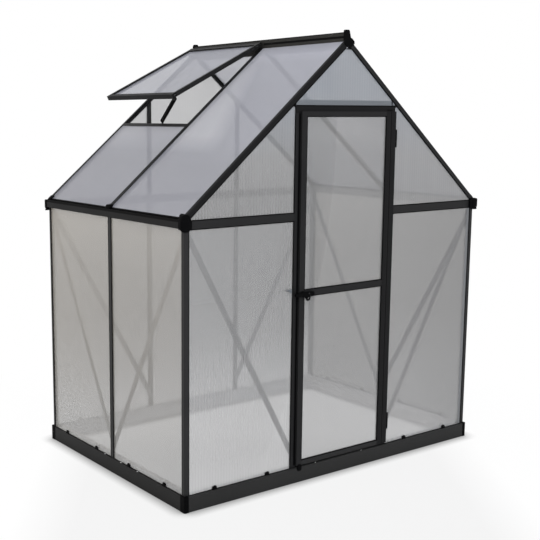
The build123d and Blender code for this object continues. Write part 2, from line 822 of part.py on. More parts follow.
# Panel clips: wedges on the base against the outer panels, hooks over the feet of the middle rafters
clip_outline = [(0, 0), (clip_depth, 0), (0, clip_height), (-clip_top, clip_height), (-clip_top, 0)]
clip_face = -panel_at + clip_top + fit_gap
side_clip_centre = (side_panel_near + side_panel_far) / 2
gable_clip_centre = (front_panel_inner + gable_panel_far) / 2
clips = []
for sx in (-1, 1):
    for sy in (-1, 1):
        for shift in (-clip_offset, clip_offset):
            y = sy * side_clip_centre + shift
            outline = [(sx * (side_x + clip_face + a), base_top + z) for a, z in clip_outline]
            clips.append(along_y(outline, y - clip_length / 2, y + clip_length / 2))
            x = sx * gable_clip_centre + shift
            outline = [(sy * (gable_y + clip_face + a), base_top + z) for a, z in clip_outline]
            clips.append(along_x(outline, x - clip_length / 2, x + clip_length / 2))
foot_clip_x = side_x - foot_clip_lap
foot_clip_end = side_x + roof_overhang + edge_gap
foot_clip_outer = foot_clip_end + foot_clip_wall
foot_clip_outline = [
    (foot_clip_x, roof_z(foot_clip_x, 0)), (foot_clip_end, roof_z(foot_clip_end, 0)),
    (foot_clip_end, eave_z + foot_clip_low), (foot_clip_outer, eave_z + foot_clip_low),
    (foot_clip_outer, roof_z(foot_clip_outer, foot_clip_wall)),
    (foot_clip_x, roof_z(foot_clip_x, foot_clip_wall)),
]
for sx in (-1, 1):
    clips.append(along_y([(sx * x, z) for x, z in foot_clip_outline], -foot_clip_half, foot_clip_half))
keep("panel_clips", *clips)

# Door: slotted stiles and rails in front of the frame
door_back = -gable_y - door_back_gap
door_left_x = -jamb_inner_x - door_left_lap
door_right_stile_x = jamb_inner_x - door_right_inset
door_bottom_z = base_top + door_foot_gap
door_top_z = head_z + door_head_lap
hinge_low_z = door_bottom_z + hinge_low_inset
hinge_high_z = door_top_z - hinge_high_inset - hinge_length
handle_z = door_mid_rail_z + handle_lift
door_slot_back = door_back - door_front_flange
door_slot_front = door_slot_back - slot
door_front = door_slot_front - door_front_flange
stile_left_end = door_left_x + door_stile_width
stile_right_end = door_right_stile_x + door_stile_width
stile_left_web = stile_left_end - door_slot_depth
stile_right_web = door_right_stile_x + door_slot_depth
spindle_x = door_left_x + spindle_inset
door_depths = (door_front, door_slot_front, door_slot_back, door_back)
left_outline = single_section(door_left_x, stile_left_web, stile_left_end, *door_depths)
right_outline = single_section(stile_right_end, stile_right_web, door_right_stile_x, *door_depths)
stile_left = along_z(left_outline, door_bottom_z, door_top_z)
spindle_start = (spindle_x, door_front, handle_z)
spindle_hole = rod(spindle_radius + fit_gap, spindle_start, (0, 1, 0), door_back - door_front)
keep("door_stile_left", single(stile_left - spindle_hole))
keep("door_stile_right", along_z(right_outline, door_bottom_z, door_top_z))
hinge_stile_x = stile_right_end + hinge_stile_groove
hinge_stile_end = hinge_stile_x + hinge_stile_width
hinge_stile_outline = [
    (stile_right_end, door_slot_back), (hinge_stile_x, door_slot_back), (hinge_stile_x, door_front),
    (hinge_stile_end, door_front), (hinge_stile_end, door_back), (stile_right_end, door_back),
]
keep("door_hinge_stile", along_z(hinge_stile_outline, door_bottom_z, door_top_z))


def door_rail(outline):
    """Rail of the door with an outline of (z, y) points, between the stiles."""
    return along_x([(y, z) for z, y in outline], stile_left_end + fit_gap, door_right_stile_x - fit_gap)


top_rail_z = door_top_z - door_top_rail_height
bottom_rail_top = door_bottom_z + door_bottom_rail_height
mid_rail_top = door_mid_rail_z + door_mid_rail_height
mid_slot_low = door_mid_rail_z + door_slot_depth
mid_slot_high = mid_rail_top - door_slot_depth
top_web = top_rail_z + door_slot_depth
bottom_web = bottom_rail_top - door_slot_depth
keep("door_top_rail", door_rail(single_section(door_top_z, top_web, top_rail_z, *door_depths)))
keep("door_bottom_rail", door_rail(single_section(door_bottom_z, bottom_web, bottom_rail_top, *door_depths)))
keep("door_mid_rail", door_rail([
    (door_mid_rail_z, door_front), (mid_rail_top, door_front), (mid_rail_top, door_slot_front),
    (mid_slot_high, door_slot_front), (mid_slot_high, door_slot_back), (mid_rail_top, door_slot_back),
    (mid_rail_top, door_back), (door_mid_rail_z, door_back), (door_mid_rail_z, door_slot_back),
    (mid_slot_low, door_slot_back), (mid_slot_low, door_slot_front), (door_mid_rail_z, door_slot_front),
]))


def door_panel(z0, z1):
    """Panel of the door in the slots of stiles and rails."""
    y0 = door_slot_front + panel_play
    x0 = stile_left_web + edge_gap
    x1 = stile_right_web - edge_gap
    return block(x0, x1, y0, y0 + panel_thickness, z0 + edge_gap, z1 - edge_gap)


keep("door_panel_upper", door_panel(mid_slot_high, top_web))
keep("door_panel_lower", door_panel(bottom_web, mid_slot_low))

# Door hinges: outer knuckles on the jamb, middle knuckle on the door, a pin through all three
hinge_x = hinge_stile_end + hinge_axis_offset
hinge_y = (door_front + door_back) / 2
knuckle_length = (hinge_length - 2 * knuckle_gap) / 3
knuckle_bore = hinge_pin_radius + running_fit
web_half = knuckle_web / 2


def knuckle(z0, arm):
    """Bored barrel joined to its leaf."""
    barrel = rod(knuckle_radius, (hinge_x, hinge_y, z0), (0, 0, 1), knuckle_length)
    return single(single(barrel + arm) - rod(knuckle_bore, (hinge_x, hinge_y, z0), (0, 0, 1), knuckle_length))


fixed_leaves = []
moving_leaves = []
pins = []
for low in (hinge_low_z, hinge_high_z):
    for z0 in (low, low + 2 * (knuckle_length + knuckle_gap)):
        z1 = z0 + knuckle_length
        leaf = along_z(
            [(hinge_x - leaf_reach, -gable_y), (hinge_x - leaf_reach, -gable_y - leaf_thickness),
             (hinge_x - web_half, -gable_y - leaf_thickness), (hinge_x - web_half, hinge_y),
             (hinge_x + web_half, hinge_y), (hinge_x + web_half, -gable_y)],
            z0, z1,
        )
        fixed_leaves.append(knuckle(z0, leaf))
    z0 = low + knuckle_length + knuckle_gap
    arm = block(hinge_stile_end, hinge_x, hinge_y - web_half, hinge_y + web_half, z0, z0 + knuckle_length)
    moving_leaves.append(knuckle(z0, arm))
    pin = rod(hinge_pin_radius, (hinge_x, hinge_y, low), (0, 0, 1), hinge_length)
    head = rod(pin_head_radius, (hinge_x, hinge_y, low + hinge_length), (0, 0, 1), pin_head_height)
    pins.append(single(pin + head))
keep("hinge_jamb_leaves", *fixed_leaves)
keep("hinge_door_leaves", *moving_leaves)
keep("hinge_pins", *pins)

# Door handle: plate on the door, outer lever with padlock eye, spindle, inner lever
plate_front = door_front - handle_plate_thickness
lever_back = plate_front - fit_gap
lever_front = lever_back - lever_thickness
inner_front = door_back + fit_gap
inner_back = inner_front + inner_lever_thickness
plate_start = (spindle_x, plate_front, handle_z)
plate = rod(handle_plate_radius, plate_start, (0, 1, 0), handle_plate_thickness)
plate = plate - rod(spindle_radius + fit_gap, plate_start, (0, 1, 0), handle_plate_thickness)
keep("handle_plate", single(plate))
lever_outline = [
    (-lever_left, -lever_tip_half_height), (-lever_half_height, -lever_half_height),
    (lever_right - lever_tip_half_height, -lever_half_height), (lever_right, -lever_tip_half_height),
    (lever_right, lever_tip_half_height), (lever_right - lever_tip_half_height, lever_half_height),
    (-lever_half_height, lever_half_height), (-lever_left, lever_tip_half_height),
]
lever = along_y([(spindle_x + x, handle_z + z) for x, z in lever_outline], lever_front, lever_back)
eye_x = spindle_x + eye_offset_x
eye_z = handle_z + eye_offset_z
eye_back = lever_front + eye_thickness
eye_low_left = eye_radius * cos(radians(45))
eye_tab = along_y(
    [(eye_x - eye_root, handle_z), (eye_x + eye_radius, handle_z), (eye_x + eye_radius, eye_z),
     (eye_x, eye_z), (eye_x - eye_low_left, eye_z - eye_low_left)],
    lever_front, eye_back,
)
eye = rod(eye_radius, (eye_x, lever_front, eye_z), (0, 1, 0), eye_thickness)
lever = single(lever + eye_tab)
lever = single(lever + eye)
lever = single(lever - rod(eye_hole_radius, (eye_x, lever_front, eye_z), (0, 1, 0), eye_thickness))
lever_bore = spindle_radius + running_fit
lever = single(lever - rod(lever_bore, (spindle_x, lever_front, handle_z), (0, 1, 0), lever_thickness))
keep("handle_lever", lever)
spindle_length = inner_back - lever_front
keep("handle_spindle", rod(spindle_radius, (spindle_x, lever_front, handle_z), (0, 1, 0), spindle_length))
inner_outline = [
    (-inner_lever_half_height, -inner_lever_half_height), (inner_lever_length, -inner_lever_tip_half_height),
    (inner_lever_length, inner_lever_tip_half_height), (-inner_lever_half_height, inner_lever_half_height),
]
inner = along_y([(spindle_x + x, handle_z + z) for x, z in inner_outline], inner_front, inner_back)
inner = inner - rod(lever_bore, (spindle_x, inner_front, handle_z), (0, 1, 0), inner_lever_thickness)
keep("handle_inner_lever", single(inner))
keeper_front = profile_depth - gable_y
keeper_top = handle_z + keeper_rise
keeper_tip_x = -jamb_inner_x - keeper_length
keeper_outline = [
    (-jamb_inner_x, keeper_top - keeper_height), (-jamb_inner_x, keeper_top), (keeper_tip_x, keeper_top),
    (keeper_tip_x, keeper_top - keeper_tip_height), (-jamb_outer_x, keeper_top - keeper_height),
]
keep("latch_keeper", along_y(keeper_outline, keeper_front, keeper_front + keeper_depth))

# Roof vent, drawn propped open; s runs down the vent from its hinge, n out of its outer face
vent_slope = radians(roof_pitch - vent_open)
vent_down = (-cos(vent_slope), 0, -sin(vent_slope))
vent_out = (-sin(vent_slope), 0, cos(vent_slope))


def vent_point(s, y, n):
    """Point of the propped vent."""
    x = vent_hinge_x + s * vent_down[0] + n * vent_out[0]
    z = vent_hinge_z + s * vent_down[2] + n * vent_out[2]
    return (x, y, z)


def vent_bar(outline, y0, y1):
    """Outline of (s, n) points pushed along Y."""
    return prism([vent_point(s, y0, n) for s, n in outline], (0, y1 - y0, 0))


vent_slot_out = vent_face_rise - vent_flange
vent_slot_in = vent_slot_out - slot
vent_back = vent_slot_in - vent_flange
bead_y0 = post_width / 2 + vent_stile_width
bead_y1 = vent_rear_y - vent_stile_width
bead = rod(bead_radius, (vent_hinge_x, bead_y0, vent_hinge_z), (0, 1, 0), bead_y1 - bead_y0)
web_low = vent_hinge_z - hinge_bar_web / 2
bead_web = block(vent_hinge_x, -ridge_half, bead_y0, bead_y1, web_low, web_low + hinge_bar_web)
keep("vent_hinge_bar", single(bead + bead_web))
top_web_end = vent_top_rail_width - vent_slot_depth
vent_depths = (vent_face_rise, vent_slot_out, vent_slot_in, vent_back)
top_outline = single_section(vent_top_rail_start, top_web_end, vent_top_rail_width, *vent_depths)
bevel_end = vent_top_rail_start + vent_top_rail_bevel
top_outline[-1:] = [(bevel_end, vent_back), (vent_top_rail_start, vent_slot_in)]
top_rail = vent_bar(top_outline, vent_front_y, vent_rear_y)
vent_width = vent_rear_y - vent_front_y
hinge_start = (vent_hinge_x, vent_front_y, vent_hinge_z)
channel = rod(channel_radius, hinge_start, (0, 1, 0), vent_width)
mouth_reach = 2 * channel_radius
mouth_rise = mouth_reach * tan(radians(mouth_half_angle))
mouth = along_y(
    [(vent_hinge_x, vent_hinge_z), (vent_hinge_x + mouth_reach, vent_hinge_z - mouth_rise),
     (vent_hinge_x + mouth_reach, vent_hinge_z + mouth_rise)],
    vent_front_y, vent_rear_y,
)
top_rail = single(top_rail + channel)
top_rail = single(top_rail - rod(bead_radius + bead_fit, hinge_start, (0, 1, 0), vent_width))
keep("vent_top_rail", single(top_rail - mouth))

# Vent stay: its angle at rest puts the arm's end just over the sill
rail_start = vent_length - vent_bottom_rail_width
lug_face = rail_start + stay_lug_lap - stay_lug_thickness
stay_face = lug_face - stay_gap
stay_back = stay_face - stay_thickness
pivot_y = stay_lug_front + stay_lug_width / 2
hinge_height = -vent_hinge_x * sin(pitch) + vent_hinge_rise * cos(pitch)
stay_line = stay_back + stay_thickness / 2
sill_angle = radians(vent_open)
for _ in range(20):
    reach = stay_line / cos(sill_angle)
    sill_angle = radians(vent_open) + asin((hinge_height - stay_sill_clear) / reach)
stay_drop = stay_line * tan(sill_angle)
stay_angle = asin((stay_drop - stay_pivot_drop - stay_half_width) / stay_length)

bottom_web_start = rail_start + vent_slot_depth
bottom_outline = [
    (vent_length, vent_face_rise), (rail_start, vent_face_rise), (rail_start, vent_slot_out),
    (bottom_web_start, vent_slot_out),
    (bottom_web_start, vent_slot_in), (rail_start, vent_slot_in), (rail_start, vent_back),
    (vent_length - vent_drip_width, vent_back), (vent_length - vent_drip_width, -vent_drip_drop),
    (vent_length, -vent_drip_drop),
]
bottom_rail = vent_bar(bottom_outline, vent_front_y, vent_rear_y)
lug_low = vent_back - stay_lug_drop
lug = vent_bar(
    [(lug_face, vent_back), (lug_face + stay_lug_thickness, vent_back),
     (lug_face + stay_lug_thickness, lug_low), (lug_face, lug_low)],
    stay_lug_front, stay_lug_front + stay_lug_width,
)
pivot = vent_point(lug_face, pivot_y, -stay_pivot_drop)
up_slope = tuple(-c for c in vent_down)
pin_length = lug_face - stay_back + stay_gap
stay_pin = rod(stay_pin_radius, pivot, up_slope, pin_length)
head_start = vent_point(lug_face - pin_length, pivot_y, -stay_pivot_drop)
stay_head = rod(stay_pin_head_radius, head_start, up_slope, stay_pin_head)
bottom_rail = single(bottom_rail + lug)
bottom_rail = single(bottom_rail + stay_pin)
keep("vent_bottom_rail", single(bottom_rail + stay_head))

stile_web_end = vent_stile_width - vent_stile_slot_depth
stile_outline = single_section(0, stile_web_end, vent_stile_width, *vent_depths)


def vent_stile(edge_y, inward):
    """Side bar of the vent between its rails."""
    s0 = vent_top_rail_width + fit_gap
    s1 = rail_start - fit_gap
    push = tuple(c * (s1 - s0) for c in vent_down)
    return prism([vent_point(s0, edge_y + inward * a, n) for a, n in stile_outline], push)


keep("vent_stiles", vent_stile(vent_front_y, 1), vent_stile(vent_rear_y, -1))
stile_clear = stile_web_end + edge_gap
pane_out = vent_slot_out - panel_play
pane_in = pane_out - panel_thickness
pane_s0 = top_web_end + edge_gap
pane_s1 = bottom_web_start - edge_gap
pane_outline = [(pane_s0, pane_out), (pane_s1, pane_out), (pane_s1, pane_in), (pane_s0, pane_in)]
keep("vent_panel", vent_bar(pane_outline, vent_front_y + stile_clear, vent_rear_y - stile_clear))
arm_direction = Vector(0, 1, 0) * cos(stay_angle) - Vector(*vent_out) * sin(stay_angle)
arm_origin = vent_point(stay_face, pivot_y, -stay_pivot_drop)
arm_plane = Plane(origin=arm_origin, x_dir=arm_direction, z_dir=up_slope)
arm_shape = Pos(stay_length / 2, 0) * Rectangle(stay_length, 2 * stay_half_width)
arm_shape = arm_shape + Circle(stay_half_width) + Pos(stay_length, 0) * Circle(stay_half_width)
arm_shape = arm_shape - Circle(stay_pin_radius + running_fit)
arm = extrude(arm_plane * arm_shape, amount=stay_thickness, dir=up_slope)
keep("vent_stay", single(arm))

os.makedirs("parts", exist_ok=True)
for name, shape in parts.items():
    export_step(shape, f"parts/{name}.step")
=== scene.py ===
import json
from math import radians, tan
import bmesh
import bpy
import numpy as np
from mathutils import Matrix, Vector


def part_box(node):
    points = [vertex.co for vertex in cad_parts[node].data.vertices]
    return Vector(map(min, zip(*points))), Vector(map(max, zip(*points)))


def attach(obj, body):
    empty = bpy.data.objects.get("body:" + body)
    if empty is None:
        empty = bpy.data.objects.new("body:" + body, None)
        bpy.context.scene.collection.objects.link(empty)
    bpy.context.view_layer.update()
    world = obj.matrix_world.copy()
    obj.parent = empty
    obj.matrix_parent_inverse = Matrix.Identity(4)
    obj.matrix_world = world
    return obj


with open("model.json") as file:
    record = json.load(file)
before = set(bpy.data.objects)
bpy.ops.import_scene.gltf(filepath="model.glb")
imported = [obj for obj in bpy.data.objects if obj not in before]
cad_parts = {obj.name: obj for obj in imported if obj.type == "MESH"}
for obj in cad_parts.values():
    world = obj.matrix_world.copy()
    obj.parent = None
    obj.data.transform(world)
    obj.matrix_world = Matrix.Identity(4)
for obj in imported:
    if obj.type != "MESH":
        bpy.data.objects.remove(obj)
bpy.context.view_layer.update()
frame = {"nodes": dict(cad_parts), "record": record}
nodes = frame["nodes"]
scene = bpy.context.scene
scene.view_settings.view_transform = "Standard"

white = (1, 1, 1)
to_right = (1, 0, 0)
to_left = (-1, 0, 0)
to_front = (0, -1, 0)
to_rear = (0, 1, 0)
to_top = (0, 0, 1)


class Graph:
    """Shader graph of a material or of the world, with short ways to add nodes."""

    def __init__(self, owner):
        self.owner = owner
        owner.use_nodes = True
        self.tree = owner.node_tree
        self.tree.nodes.clear()

    def add(self, kind, inputs=None, **settings):
        """Node of a kind; inputs maps socket names or numbers to a value or to another socket."""
        node = self.tree.nodes.new("ShaderNode" + kind)
        for key, value in settings.items():
            setattr(node, key, value)
        for key, value in (inputs or {}).items():
            if isinstance(value, bpy.types.NodeSocket):
                self.tree.links.new(value, node.inputs[key])
            else:
                node.inputs[key].default_value = value
        return node

    def math(self, operation, *values):
        """Output of a math node."""
        return self.add("Math", dict(enumerate(values)), operation=operation).outputs[0]

    def ramp(self, value, low, high, to_low, to_high):
        """Value mapped from one range to another and held at the ends."""
        inputs = {0: value, 1: low, 2: high, 3: to_low, 4: to_high}
        return self.add("MapRange", inputs).outputs[0]

    def blend(self, share, first, second, way="MIX"):
        """Colour between two colours by a share, or another blend of them."""
        node = self.add("Mix", {0: share, 6: first, 7: second}, data_type="RGBA", blend_type=way)
        return node.outputs[2]

    def tint(self, value, dark, light):
        """Colour between two plain colours."""
        return self.blend(value, (*dark, 1), (*light, 1))

    def times(self, colour, other):
        """Product of two colours."""
        return self.blend(1.0, colour, other, "MULTIPLY")

    def bands(self, value, top, stops):
        """Colour by height: stops are (height, colour) from the floor up to the top."""
        node = self.add("ValToRGB", {0: self.ramp(value, 0, top, 0, 1)})
        scale = node.color_ramp.elements
        while len(scale) < len(stops):
            scale.new(1.0)
        for element, (height, colour) in zip(scale, stops):
            element.position = height / top
            element.color = (*colour, 1)
        return node.outputs[0]

    def noise(self, vector, scale, detail):
        """Noise value."""
        return self.add("TexNoise", {"Vector": vector, "Scale": scale, "Detail": detail}).outputs[0]

    def place(self):
        """Coordinates of the piece in metres."""
        return self.add("TexCoord").outputs["Object"]

    def spread(self, vector):
        """The x, y and z of a vector."""
        return self.add("SeparateXYZ", {0: vector}).outputs

    def dot(self, first, second):
        """Dot product of two vectors."""
        return self.add("VectorMath", {0: first, 1: second}, operation="DOT_PRODUCT").outputs["Value"]

    def background_rays(self):
        """One for rays from the camera, from gloss and through glass, nought for other light."""
        path = self.add("LightPath").outputs
        seen = self.math("MAXIMUM", path["Is Camera Ray"], path["Is Glossy Ray"])
        return self.math("MAXIMUM", seen, path["Is Transmission Ray"])

    def mixed(self, share, first, second):
        """Shader between two shaders."""
        return self.add("MixShader", {0: share, 1: first, 2: second}).outputs[0]

    def finish(self, shader, kind="OutputMaterial"):
        """Sets the surface and returns the material or the world."""
        self.add(kind, {"Surface": shader})
        return self.owner


def shaded(colour, share):
    """Colour times a share."""
    return tuple(share * c for c in colour)


turned_inwards = (-0.10, -0.04)
eave_fade = (1.26, 1.30)
middle_fade = (-0.01, 0.01)
right_fade = (-0.1, 0.1)


def inner_faces(g, where):
    """Painted light mask: one on faces that look towards the middle of the house, nought on the rest."""
    around = g.add("VectorMath", {0: where, 1: (1, 1, 0)}, operation="MULTIPLY").outputs[0]
    outward = g.dot(g.add("TexCoord").outputs["Normal"], around)
    return g.ramp(outward, *turned_inwards, 1, 0)


def inner_wall_faces(g, where):
    """As inner_faces, but only below the eaves."""
    return g.math("MULTIPLY", inner_faces(g, where), g.ramp(g.spread(where)[2], *eave_fade, 1, 0))


def rear_half(g, where):
    """Painted light mask: nought in the front half of the house, one in the rear half."""
    return g.ramp(g.spread(where)[1], *middle_fade, 0, 1)


def all_but_front_right(g, where):
    """Painted light mask: nought in the front bay of the right wall, one elsewhere."""
    spread = g.spread(where)
    right = g.ramp(spread[0], *right_fade, 0, 1)
    front = g.ramp(spread[1], *middle_fade, 1, 0)
    return g.math("SUBTRACT", 1.0, g.math("MULTIPLY", right, front))


noise_span = (0.3, 0.7)
coat_drift_scale = 5
pale_drift = 0.08
gloss_drift = 0.05
grain_strength = 0.12
grain_height = 0.0003


def coated(name, dark, light, roughness, shine, grain, pale=None, pale_tone=0.0):
    """Coated or moulded surface, with painted light where pale says: a paler tone on members seen through
    the milky sheets.

    Fine noise makes the grain in the relief, and slow noise makes the drift in tone and in gloss.
    """
    g = Graph(bpy.data.materials.new(name))
    where = g.place()
    fine = g.noise(where, grain, 3)
    slow = g.noise(where, coat_drift_scale, 2)
    drift = g.ramp(slow, *noise_span, 0, 1)
    colour = g.tint(drift, dark, light)
    # Painted light: the paler tone where the mask is one.
    if pale:
        pale_dark = shaded(white, (1 - pale_drift) * pale_tone)
        pale_light = shaded(white, (1 + pale_drift) * pale_tone)
        colour = g.blend(pale(g, where), colour, g.tint(drift, pale_dark, pale_light))
    gloss = g.ramp(slow, *noise_span, roughness - gloss_drift, roughness + gloss_drift)
    relief = g.add("Bump", {"Strength": grain_strength, "Distance": grain_height, "Height": fine})
    shader = g.add("BsdfPrincipled", {
        "Base Color": colour, "Roughness": gloss, "Specular IOR Level": shine, "Normal": relief.outputs[0],
    })
    return g.finish(shader.outputs[0])


painted_vent_rise = (1.53, 1.61)
painted_glare_fade = (1.93, 2.12)
painted_glare_lean = 1.33
rear_bay_fade = (0, 0.02)
front_bay_fade = (0, 0.005)
painted_sill_lift = 0.25
painted_rafter_glare = 0.58
painted_vent_tone = (2.0, 1.97, 1.80)


def painted_light_near_vent(g, spread):
    """Painted light on the roof sheet next to the vent: a painted lift below its sill, where the vent's
    shade falls, and a painted glare beside the middle rafter.

    Both grow with height. The part beside the rafter lies in the front bay and fades along a slanted line.
    """
    y, z = spread[1], spread[2]
    below = g.math("MULTIPLY", g.ramp(y, *rear_bay_fade, 0, 1), g.ramp(z, *painted_vent_rise, 0, painted_sill_lift))
    slant = g.math("SUBTRACT", z, g.math("MULTIPLY", y, painted_glare_lean))
    beside = g.math("MULTIPLY", g.ramp(z, *painted_vent_rise, 0, painted_rafter_glare), g.ramp(slant, *painted_glare_fade, 1, 0))
    front_bay = g.ramp(y, *front_bay_fade, 1, 0)
    return g.math("ADD", below, g.math("MULTIPLY", beside, front_bay))


across_gable = 0
along_wall = 1
flute_pitch = 0.0155
flute_share = 0.6
sheet_drift_scale = 14
sheet_top = 2.1
wall_reach = (0.9, 0.6)
even_ends = (white, white)
glow_share = 0.2
skin_roughness = 0.40
skin_tone = (0.9, 0.9, 0.9, 1)
skin_share = 0.6
sheet_ior = 1.45
daylight_share = 0.12


def twin_wall(name, axis, clear, stops, flute_depth, ends=even_ends, light_painter=None):
    """Milky twin-wall sheet.

    Even flutes and a slow drift run across one axis and change the tone and what shows through.
    The tone also follows the height, and sweeps from one end of the wall to the other: painted light and
    shade.
    """
    g = Graph(bpy.data.materials.new(name))
    spread = g.spread(g.place())
    across = spread[axis]
    flute = g.ramp(g.math("PINGPONG", across, flute_pitch / 2), 0, flute_pitch / 2, -1, 1)
    line = g.add("CombineXYZ", {0: across}).outputs[0]
    drift = g.ramp(g.noise(line, sheet_drift_scale, 2), *noise_span, -1, 1)
    even = g.math("MULTIPLY", flute, flute_share)
    uneven = g.math("MULTIPLY", drift, 1 - flute_share)
    lines = g.math("ADD", even, uneven)
    dull = shaded(white, 1 - flute_depth)
    bright = shaded(white, 1 + flute_depth)
    colour = g.times(g.bands(spread[2], sheet_top, stops), g.tint(g.ramp(lines, -1, 1, 0, 1), dull, bright))
    reach = wall_reach[axis]
    colour = g.times(colour, g.tint(g.ramp(across, -reach, reach, 0, 1), *ends))
    # Painted light: a lift and a glare on the roof sheets near the vent.
    if light_painter:
        colour = g.times(colour, g.tint(light_painter(g, spread), white, painted_vent_tone))
    scatter = g.add("BsdfDiffuse", {"Color": colour}).outputs[0]
    glow = g.add("BsdfTranslucent", {"Color": colour}).outputs[0]
    milk = g.mixed(glow_share, scatter, glow)
    gloss = g.add("BsdfGlossy", {"Roughness": skin_roughness, "Color": skin_tone}).outputs[0]
    facing = g.add("Fresnel", {"IOR": sheet_ior}).outputs[0]
    skin = g.mixed(g.math("MULTIPLY", facing, skin_share), milk, gloss)
    through = g.add("BsdfTransparent", {"Color": (*white, 1)}).outputs[0]
    path = g.add("LightPath").outputs
    daylight = g.math("MAXIMUM", path["Is Shadow Ray"], path["Is Diffuse Ray"])
    level = g.ramp(lines, -1, 1, 1 - flute_depth, 1 + flute_depth)
    share = g.math("MULTIPLY", level, g.ramp(daylight, 0, 1, 1 - clear, daylight_share * (1 - clear)))
    return g.finish(g.mixed(share, through, skin))


satin = 0.5
matt = 0.6
plated = 0.4
coat_shine = 0.11
shaded_frame_shine = 0.08
brace_shine = 0.2
brace_dark_shine = 0.12
painted_light_shine = 0.2
base_side_shine = 0.10
base_shine = 0.13
plastic_shine = 0.03
rubber_shine = 0.04
steel_shine = 0.5
coat_grain = 900
base_grain = 800
plastic_grain = 1400
rubber_grain = 1600
steel_grain = 1200
dark_tones = ((0.009, 0.009, 0.0096), (0.012, 0.012, 0.0126))
# Painted light: a lighter copy of the dark frame tone.
lighter_frame_tones = ((0.0155, 0.0155, 0.016), (0.0185, 0.0185, 0.019))
# Painted light: a slightly lighter copy of the dark frame tone.
half_lit_frame_tones = ((0.0115, 0.0115, 0.012), (0.014, 0.014, 0.0145))
# Painted shade: a darker copy of the dark frame tone.
shaded_frame_tones = ((0.005, 0.005, 0.0055), (0.007, 0.007, 0.0075))
# Painted light: paler copies of the frame coat for the braces, for the glow of the milky sheets in front of
# them.
lit_brace_tones = ((0.12, 0.12, 0.121), (0.15, 0.15, 0.151))
lit_side_brace_tones = ((0.090, 0.090, 0.091), (0.110, 0.110, 0.111))
# Painted light: a pale tone for sheets on the inner faces of the base.
painted_light_tones = ((0.55, 0.55, 0.55), (0.62, 0.62, 0.62))
# Painted shade: a darker copy of the base tone for the base sides, which the side lamp lights.
shaded_side_base_tones = ((0.0085, 0.0085, 0.0085), (0.0105, 0.0105, 0.0105))
# Painted light: a paler, warmer copy of the frame tone for the ridge.
lit_ridge_tones = ((0.0145, 0.0142, 0.0135), (0.0175, 0.0172, 0.0162))
base_tones = ((0.0158, 0.0158, 0.0158), (0.0190, 0.0190, 0.0190))
plastic_tones = ((0.0012, 0.0012, 0.0015), (0.0020, 0.0020, 0.0023))
rubber_tones = ((0.0012, 0.0012, 0.0014), (0.002, 0.002, 0.0022))
steel_tones = ((0.30, 0.30, 0.31), (0.42, 0.42, 0.43))
screw_tones = ((0.62, 0.62, 0.62), (0.74, 0.74, 0.74))

frame_dark = coated("frame_dark", *dark_tones, satin, coat_shine, coat_grain)
# Painted light and shade: lighter and darker copies of the frame coat.
frame_painted_lighter = coated("frame_painted_lighter", *lighter_frame_tones, satin, coat_shine, coat_grain)
frame_painted_half_lit = coated("frame_painted_half_lit", *half_lit_frame_tones, satin, coat_shine, coat_grain)
frame_painted_shade = coated("frame_painted_shade", *shaded_frame_tones, satin, shaded_frame_shine, coat_grain)
# Painted light on the braces: paler in the rear half, and the side braces paler outside the front bay of
# the right wall.
brace_painted_light = coated(
    "brace_painted_light", *lit_brace_tones, satin, brace_shine, coat_grain, pale=rear_half, pale_tone=0.285,
)
brace_dark = coated(
    "brace_dark", *lit_side_brace_tones, satin, brace_dark_shine, coat_grain,
    pale=all_but_front_right, pale_tone=0.22,
)
# Painted light and shade: a lighter and a darker copy of the frame coat, each with painted light on the
# inner faces.
frame_rear = coated(
    "frame_rear", *lighter_frame_tones, satin, coat_shine, coat_grain, pale=inner_wall_faces, pale_tone=0.22,
)
frame_eave = coated(
    "frame_eave", *shaded_frame_tones, satin, shaded_frame_shine, coat_grain, pale=inner_faces, pale_tone=0.24,
)
painted_light_coat = coated("painted_light_coat", *painted_light_tones, satin, painted_light_shine, coat_grain)
# Painted shade on the base sides.
base_side = coated("base_side", *shaded_side_base_tones, satin, base_side_shine, base_grain)
ridge_painted_light = coated("ridge_painted_light", *lit_ridge_tones, satin, coat_shine, coat_grain)
base_dark = coated("base_dark", *base_tones, satin, base_shine, base_grain)
plastic_black = coated("plastic_black", *plastic_tones, matt, plastic_shine, plastic_grain)
rubber_black = coated("rubber_black", *rubber_tones, matt, rubber_shine, rubber_grain)
steel_plain = coated("steel_plain", *steel_tones, plated, steel_shine, steel_grain)
screw_pale = coated("screw_pale", *screw_tones, plated, steel_shine, steel_grain)

finishes = {
    "frame_dark": frame_dark,
    "base_dark": base_dark,
    "plastic_black": plastic_black,
    "steel_plain": steel_plain,
}
# Members take lighter and darker copies of the frame coat: painted light and shade.
own_finish = {
    frame_painted_lighter: ("corner_post_front_left", "corner_post_front_right", "mid_posts", "door_bottom_rail"),
    frame_painted_shade: (
        "door_head", "door_hinge_stile", "door_stile_right", "vent_bottom_rail", "gable_rafter_front_left",
    ),
    brace_painted_light: ("gable_braces",),
    brace_dark: ("side_braces",),
    base_side: ("base_sides",),
    ridge_painted_light: ("ridge_beam",),
    frame_painted_half_lit: ("front_rails",),
    frame_rear: ("rear_rails", "rear_posts", "corner_posts_rear"),
    frame_eave: ("gutter_left", "gutter_right", "mid_rafters"),
    plastic_black: ("handle_spindle", "hinge_jamb_leaves", "hinge_door_leaves"),
}


def by_height(tone, *shares):
    """Stops of a panel's tone, from pairs of a height and a share of the tone."""
    return tuple((height, shaded(tone, share)) for height, share in shares)


panel_clear = 0.5
upper_clear = 0.43
roof_clear = 0.38
shade_clear = 0.1
front_flutes = 0.045
upper_flutes = 0.03
door_flutes = 0.012
shade_flutes = 0.01
faint_flutes = 0.006
